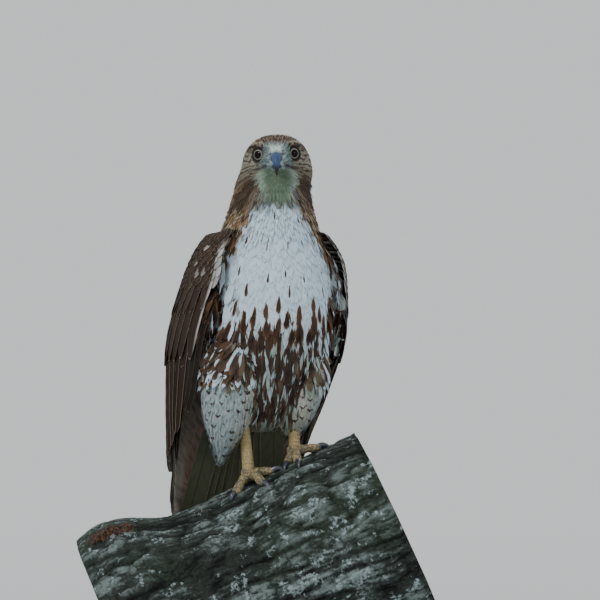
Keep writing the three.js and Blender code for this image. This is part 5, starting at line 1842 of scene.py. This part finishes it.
def bark_material():
    n = Nodes("rough_bark")
    torn, height, _ = n.parts_of("bark_look")
    grain = n.vector_of("grain")
    fibre = n.noise(n.stretched((0.3, 1.0, 1.0), grain), 230.0, 6.0, 0.65)
    patch = n.noise(grain, 62.0, 5.0, 0.65)
    spread = n.noise(grain, 8.0, 4.0, 0.6)
    crust = n.noise(grain, 260.0, 5.0, 0.7)
    level = n.scaled(fibre, 0.55, n.scaled(crust, 0.5, height))
    # Colour by height with the grain: near black deep in the furrows, which is painted shade, up to pale grey
    # on the plates
    colour = n.blend(n.ramp(level, 0.92, 1.12), rgb(0.004, 0.006, 0.005), rgb(0.026, 0.034, 0.029))
    colour = n.blend(n.ramp(level, 1.12, 1.38), colour, rgb(0.175, 0.222, 0.215))
    moss = n.times(n.ramp(spread, 0.45, 0.62), n.ramp(crust, 0.42, 0.60))
    colour = n.blend(n.times(moss, 0.6), colour, rgb(0.026, 0.048, 0.024))
    lichen = n.times(n.ramp(n.scaled(height, 0.3, patch), 0.75, 0.82), n.ramp(crust, 0.42, 0.56))
    colour = n.blend(n.times(lichen, 0.9), colour, rgb(0.33, 0.42, 0.43))
    red = n.times(n.ramp(n.scaled(crust, 1.6, torn), 1.15, 1.5), 0.9)
    wood = n.blend(n.ramp(crust, 0.45, 0.58), rgb(0.014, 0.009, 0.007), rgb(0.135, 0.060, 0.032))
    colour = n.blend(red, colour, wood)
    n.bump(n.scaled(fibre, 1.0, crust), 1.0, 0.0042)
    return n.finish(colour, n.ramp(crust, 0.3, 0.7, 0.75, 0.95), Specular_IOR_Level=0.25)


def sawn_material():
    n = Nodes("sawn_wood")
    radius, share, _ = n.parts_of("rings")
    cloud = n.noise(n.place(), 11.0, 4.0, 0.6)
    wobble = n.scaled(cloud, 0.016, radius)
    ring = n.math("SINE", n.times(wobble, 1150.0))
    fine = n.noise(n.place(), 340.0, 4.0)
    colour = n.blend(n.ramp(ring, -0.7, 0.9), rgb(0.42, 0.28, 0.155), rgb(0.56, 0.42, 0.26))
    colour = n.blend(n.ramp(wobble, 0.055, 0.02), colour, rgb(0.30, 0.165, 0.085))
    colour = n.blend(n.times(fine, 0.35), colour, rgb(0.35, 0.24, 0.15))
    colour = n.blend(n.ramp(share, 0.935, 0.96), colour, rgb(0.075, 0.052, 0.038))
    n.bump(n.scaled(ring, 0.4, fine), 0.4, 0.0007)
    return n.finish(colour, n.ramp(fine, 0.3, 0.7, 0.6, 0.8))


# Display stand: a base with rounded edges, and steel rods

BASE_LENGTH = 340
BASE_DEPTH = 260
BASE_CORNER = 24
BASE_THICKNESS = 18
BASE_EDGE = 2.2
BASE_LOWER_EDGE = 1.0


def base_piece():
    """The base's outline drawn up in rings, rolled over at the upper and lower edges."""
    steps = 12
    outline, facing = [], []
    for quarter, (sx, sy) in enumerate(((1, -1), (1, 1), (-1, 1), (-1, -1))):
        for i in range(steps + 1):
            angle = (quarter - 1 + i / steps) * math.pi / 2
            way = np.array((math.cos(angle), math.sin(angle)))
            corner = np.array((sx * (BASE_LENGTH / 2 - BASE_CORNER), sy * (BASE_DEPTH / 2 - BASE_CORNER)))
            outline.append(corner + way * BASE_CORNER)
            facing.append(way)
    outline, facing = np.array(outline), np.array(facing)
    rings = []
    for share in (0.02, 0.4, 0.8, 0.96):
        rings.append((outline * share, BASE_THICKNESS))
    for i in range(9):
        turn = i / 8 * math.pi / 2
        height = BASE_THICKNESS - BASE_EDGE * (1 - math.cos(turn))
        rings.append((outline - facing * BASE_EDGE * (1 - math.sin(turn)), height))
    for i in range(5):
        turn = i / 4 * math.pi / 2
        height = BASE_LOWER_EDGE * (1 - math.sin(turn))
        rings.append((outline - facing * BASE_LOWER_EDGE * (1 - math.cos(turn)), height))
    for share in (0.9, 0.5, 0.02):
        rings.append((outline * share, 0.0))
    points = np.array([np.column_stack([ring, np.full(len(ring), z)]) for ring, z in rings])
    faces = grid_faces(len(rings), len(outline), closed=True)
    return mesh_object("base_piece", points.reshape(-1, 3) * MM, faces)


def stand_material():
    n = Nodes("stained_wood")
    grain = n.noise(n.stretched((1.0, 14.0, 14.0)), 16.0, 6.0, 0.6, 0.4)
    pores = n.noise(n.stretched((3.0, 60.0, 60.0)), 12.0, 3.0, 0.6)
    colour = n.blend(n.ramp(grain, 0.3, 0.7), rgb(0.016, 0.012, 0.010), rgb(0.05, 0.034, 0.024))
    n.bump(n.scaled(pores, 0.6, grain), 0.12, 0.0006)
    return n.finish(colour, n.ramp(pores, 0.35, 0.7, 0.32, 0.46), Coat_Weight=0.2, Coat_Roughness=0.25)


def rod_material():
    n = Nodes("brushed_steel")
    brush = n.noise(n.stretched((1.0, 1.0, 30.0)), 30.0, 4.0, 0.6)
    colour = n.blend(brush, rgb(0.34, 0.34, 0.345), rgb(0.46, 0.46, 0.465))
    n.bump(brush, 0.08, 0.0003)
    return n.finish(colour, n.ramp(brush, 0.3, 0.7, 0.28, 0.4), Metallic=1.0)


# Skin colour, the same markings as the feathers over it, a little darker between them as painted shade in the
# gaps

def skin_material():
    n = Nodes("downy_skin")
    down = n.noise(n.stretched((1.0, 1.0, 0.35)), 420.0, 5.0, 0.65)
    tone = n.noise(n.place(), 60.0, 3.0)
    # The skin is darkened overall, mottled by the down: painted shade between the feathers
    shade = n.scaled(down, 0.5, n.scaled(tone, 0.2, 0.5))
    marked = drop_colours(n, n.colour_of("tint"), n.scaled(down, 0.4, -0.2))
    colour = n.shaded(marked, shade)
    n.bump(down, 0.6, 0.0012)
    return n.finish(colour, n.ramp(down, 0.3, 0.7, 0.75, 0.95), Specular_IOR_Level=0.2)


def colour_skin(skin, drops):
    """Colours and drops of the skin between the feathers."""
    points, normals = mesh_arrays(skin.data)
    bird = bird_from_world(points)
    near = flesh_distance(("thigh_left", "thigh_right"), bird)
    body = flesh_distance(("torso",), bird)
    tint = markings(bird, near < body, np.full(len(bird), 0.5))[0]
    wings = nearest_of([body_tree(wing_body(name)) for name in WING_STATIONS], bird)
    on_wing = smoothstep(2.5, 0.8, wings - np.minimum(near, body))
    # The inner side of the wing has a pale lining
    inward = -(normals @ BIRD[:3, :3])[:, 0] * np.sign(bird[:, 0])
    tint = mix(tint, mix(WING_BROWN, LINING, smoothstep(0.35, 0.75, inward)), on_wing)
    tails = nearest_distance(body_tree(tail_body()), bird)
    # The skin at the tail's root takes the underside colour with its painted shade
    tint = mix(tint, TAIL_UNDER_SHADED * 0.8, smoothstep(2.0, 0.5, tails - body))
    for side in (-1, 1):
        along, aside = from_eye(head_from_bird(bird), side)
        tint = mix(tint, DARK * 1.6, smoothstep(11.5, 10.5, np.linalg.norm(aside, axis=1)) * (along > 0))
    set_colours(skin, "tint", tint)
    set_vectors(skin, "drop", drops.field(bird[:, None], drops.near(bird))[:, 0])
    skin.data.materials.clear()
    skin.data.materials.append(skin_material())


# Assembly

def dress(piece, material=None, node=None):
    """Gives a piece its material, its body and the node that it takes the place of."""
    if material:
        piece.data.materials.append(material)
    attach(piece, "root")
    if node:
        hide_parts(node)


for node_name in ("stand_rod_low", "stand_rod_high"):
    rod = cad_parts[node_name]
    rod.data.materials.clear()
    rod.data.materials.append(rod_material())

skin = melted_skin()
coat, drops = build_coat(skin)
colour_skin(skin, drops)
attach(skin, "root")
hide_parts("torso", "neck", "head", "thigh_left", "thigh_right")
for piece in coat:
    dress(piece)

vane_look = vane_material("broad_vanes")
for wing in WING_STATIONS:
    for kind, gathered in zip(("flights", "coverts"), wing_vanes(wing)):
        dress(gathered.piece(f"{wing}_{kind}", vane_look), node=wing)
dress(tail_vanes().piece("tail_vanes", vane_look), node="tail")

wet_eye = eye_material()
lids = lid_material()
for name, side in (("left", 1), ("right", -1)):
    dress(eye_piece(f"eyeball_{name}", side), wet_eye, f"eye_{name}")
    dress(lid_piece(f"lids_{name}", side), lids)

for node, stations in (("bill_upper", UPPER_BILL), ("bill_lower", LOWER_BILL)):
    upper = node == "bill_upper"
    dress(bill_piece(f"{node}_horn", stations, upper), bill_material(upper), node)

shank_skin = leg_material("shank_scales", 0.35, rgb(0.17, 0.135, 0.09))
foot_skin = leg_material("foot_scales", 0.95, rgb(0.085, 0.080, 0.062))
horn = talon_material()
for name, leg in LEGS.items():
    dress(shank_piece(f"shank_{name}_scales", leg), shank_skin, f"shank_{name}")
    dress(foot_piece(f"foot_{name}_scales", leg), foot_skin, f"foot_{name}")
    for toe_name, toe in leg["toes"].items():
        dress(talon_piece(f"claw_{name}_{toe_name}", leg, toe), horn, f"talon_{name}_{toe_name}")

dress(limb_piece(), bark_material(), "perch_limb")
sawn = sawn_material()
for name, end in (("sawn_low", -1), ("sawn_high", 1)):
    dress(sawn_piece(name, end), sawn, "perch_limb")
dress(base_piece(), stand_material(), "stand_base")


# Floor, light and camera

def floor_piece():
    size = 6.0
    points = np.array(((-size, -size, 0), (size, -size, 0), (size, size, 0), (-size, size, 0)), float)
    floor = mesh_object("floor", points, np.array([[0, 1, 2, 3]]))
    n = Nodes("pale_floor")
    cloud = n.noise(n.place(), 3.0, 4.0)
    floor.data.materials.append(n.finish(n.blend(cloud, rgb(0.62, 0.63, 0.64), rgb(0.70, 0.71, 0.72)), 0.8))
    return floor


def area_light(name, target, place, size, power, colour):
    data = bpy.data.lights.new(name, "AREA")
    data.shape = "DISK"
    data.size = size
    data.energy = power
    data.color = colour
    light = bpy.data.objects.new(name, data)
    light.location = place
    light.rotation_euler = (Vector(target) - Vector(place)).to_track_quat("-Z", "Y").to_euler()
    bpy.context.scene.collection.objects.link(light)


floor_piece()
MIDDLE = (0.0, 0.0, 0.6)
LIGHTS = {
    "key": dict(place=(-2.6, -3.6, 3.9), size=1.5, power=170, colour=(1.0, 0.985, 0.96)),
    "fill": dict(place=(3.4, -2.8, 1.6), size=2.0, power=34, colour=(0.94, 0.97, 1.0)),
    "back": dict(place=(0.6, 3.0, 2.6), size=2.2, power=60, colour=(0.95, 0.98, 1.0)),
}
for name, light in LIGHTS.items():
    area_light(name, target=MIDDLE, **light)

world = bpy.data.worlds.new("pale_air")
world.use_nodes = True
nodes, links = world.node_tree.nodes, world.node_tree.links
nodes["Background"].inputs["Color"].default_value = rgb(0.80, 0.82, 0.83)
heading = nodes.new("ShaderNodeTexCoord")
height = nodes.new("ShaderNodeSeparateXYZ")
fade = nodes.new("ShaderNodeMapRange")
for socket, value in (("From Min", -0.35), ("From Max", 0.02), ("To Min", 0.25), ("To Max", 0.92)):
    fade.inputs[socket].default_value = value
links.new(heading.outputs["Generated"], height.inputs["Vector"])
links.new(height.outputs["Z"], fade.inputs["Value"])
links.new(fade.outputs["Result"], nodes["Background"].inputs["Strength"])
bpy.context.scene.world = world

CAMERA_TARGET = Vector((0.0462, 0.0, 0.631))
CAMERA_DISTANCE = 4.5
CAMERA_ELEVATION = math.radians(-5)
FIELD_WIDTH = 0.792

camera_data = bpy.data.cameras.new("camera")
camera_data.sensor_fit = "HORIZONTAL"
camera_data.angle = 2 * math.atan(FIELD_WIDTH / 2 / CAMERA_DISTANCE)
camera = bpy.data.objects.new("camera", camera_data)
away = Vector((0, -math.cos(CAMERA_ELEVATION), math.sin(CAMERA_ELEVATION)))
camera.location = CAMERA_TARGET + away * CAMERA_DISTANCE
camera.rotation_euler = (-away).to_track_quat("-Z", "Y").to_euler()
bpy.context.scene.collection.objects.link(camera)
bpy.context.scene.camera = camera
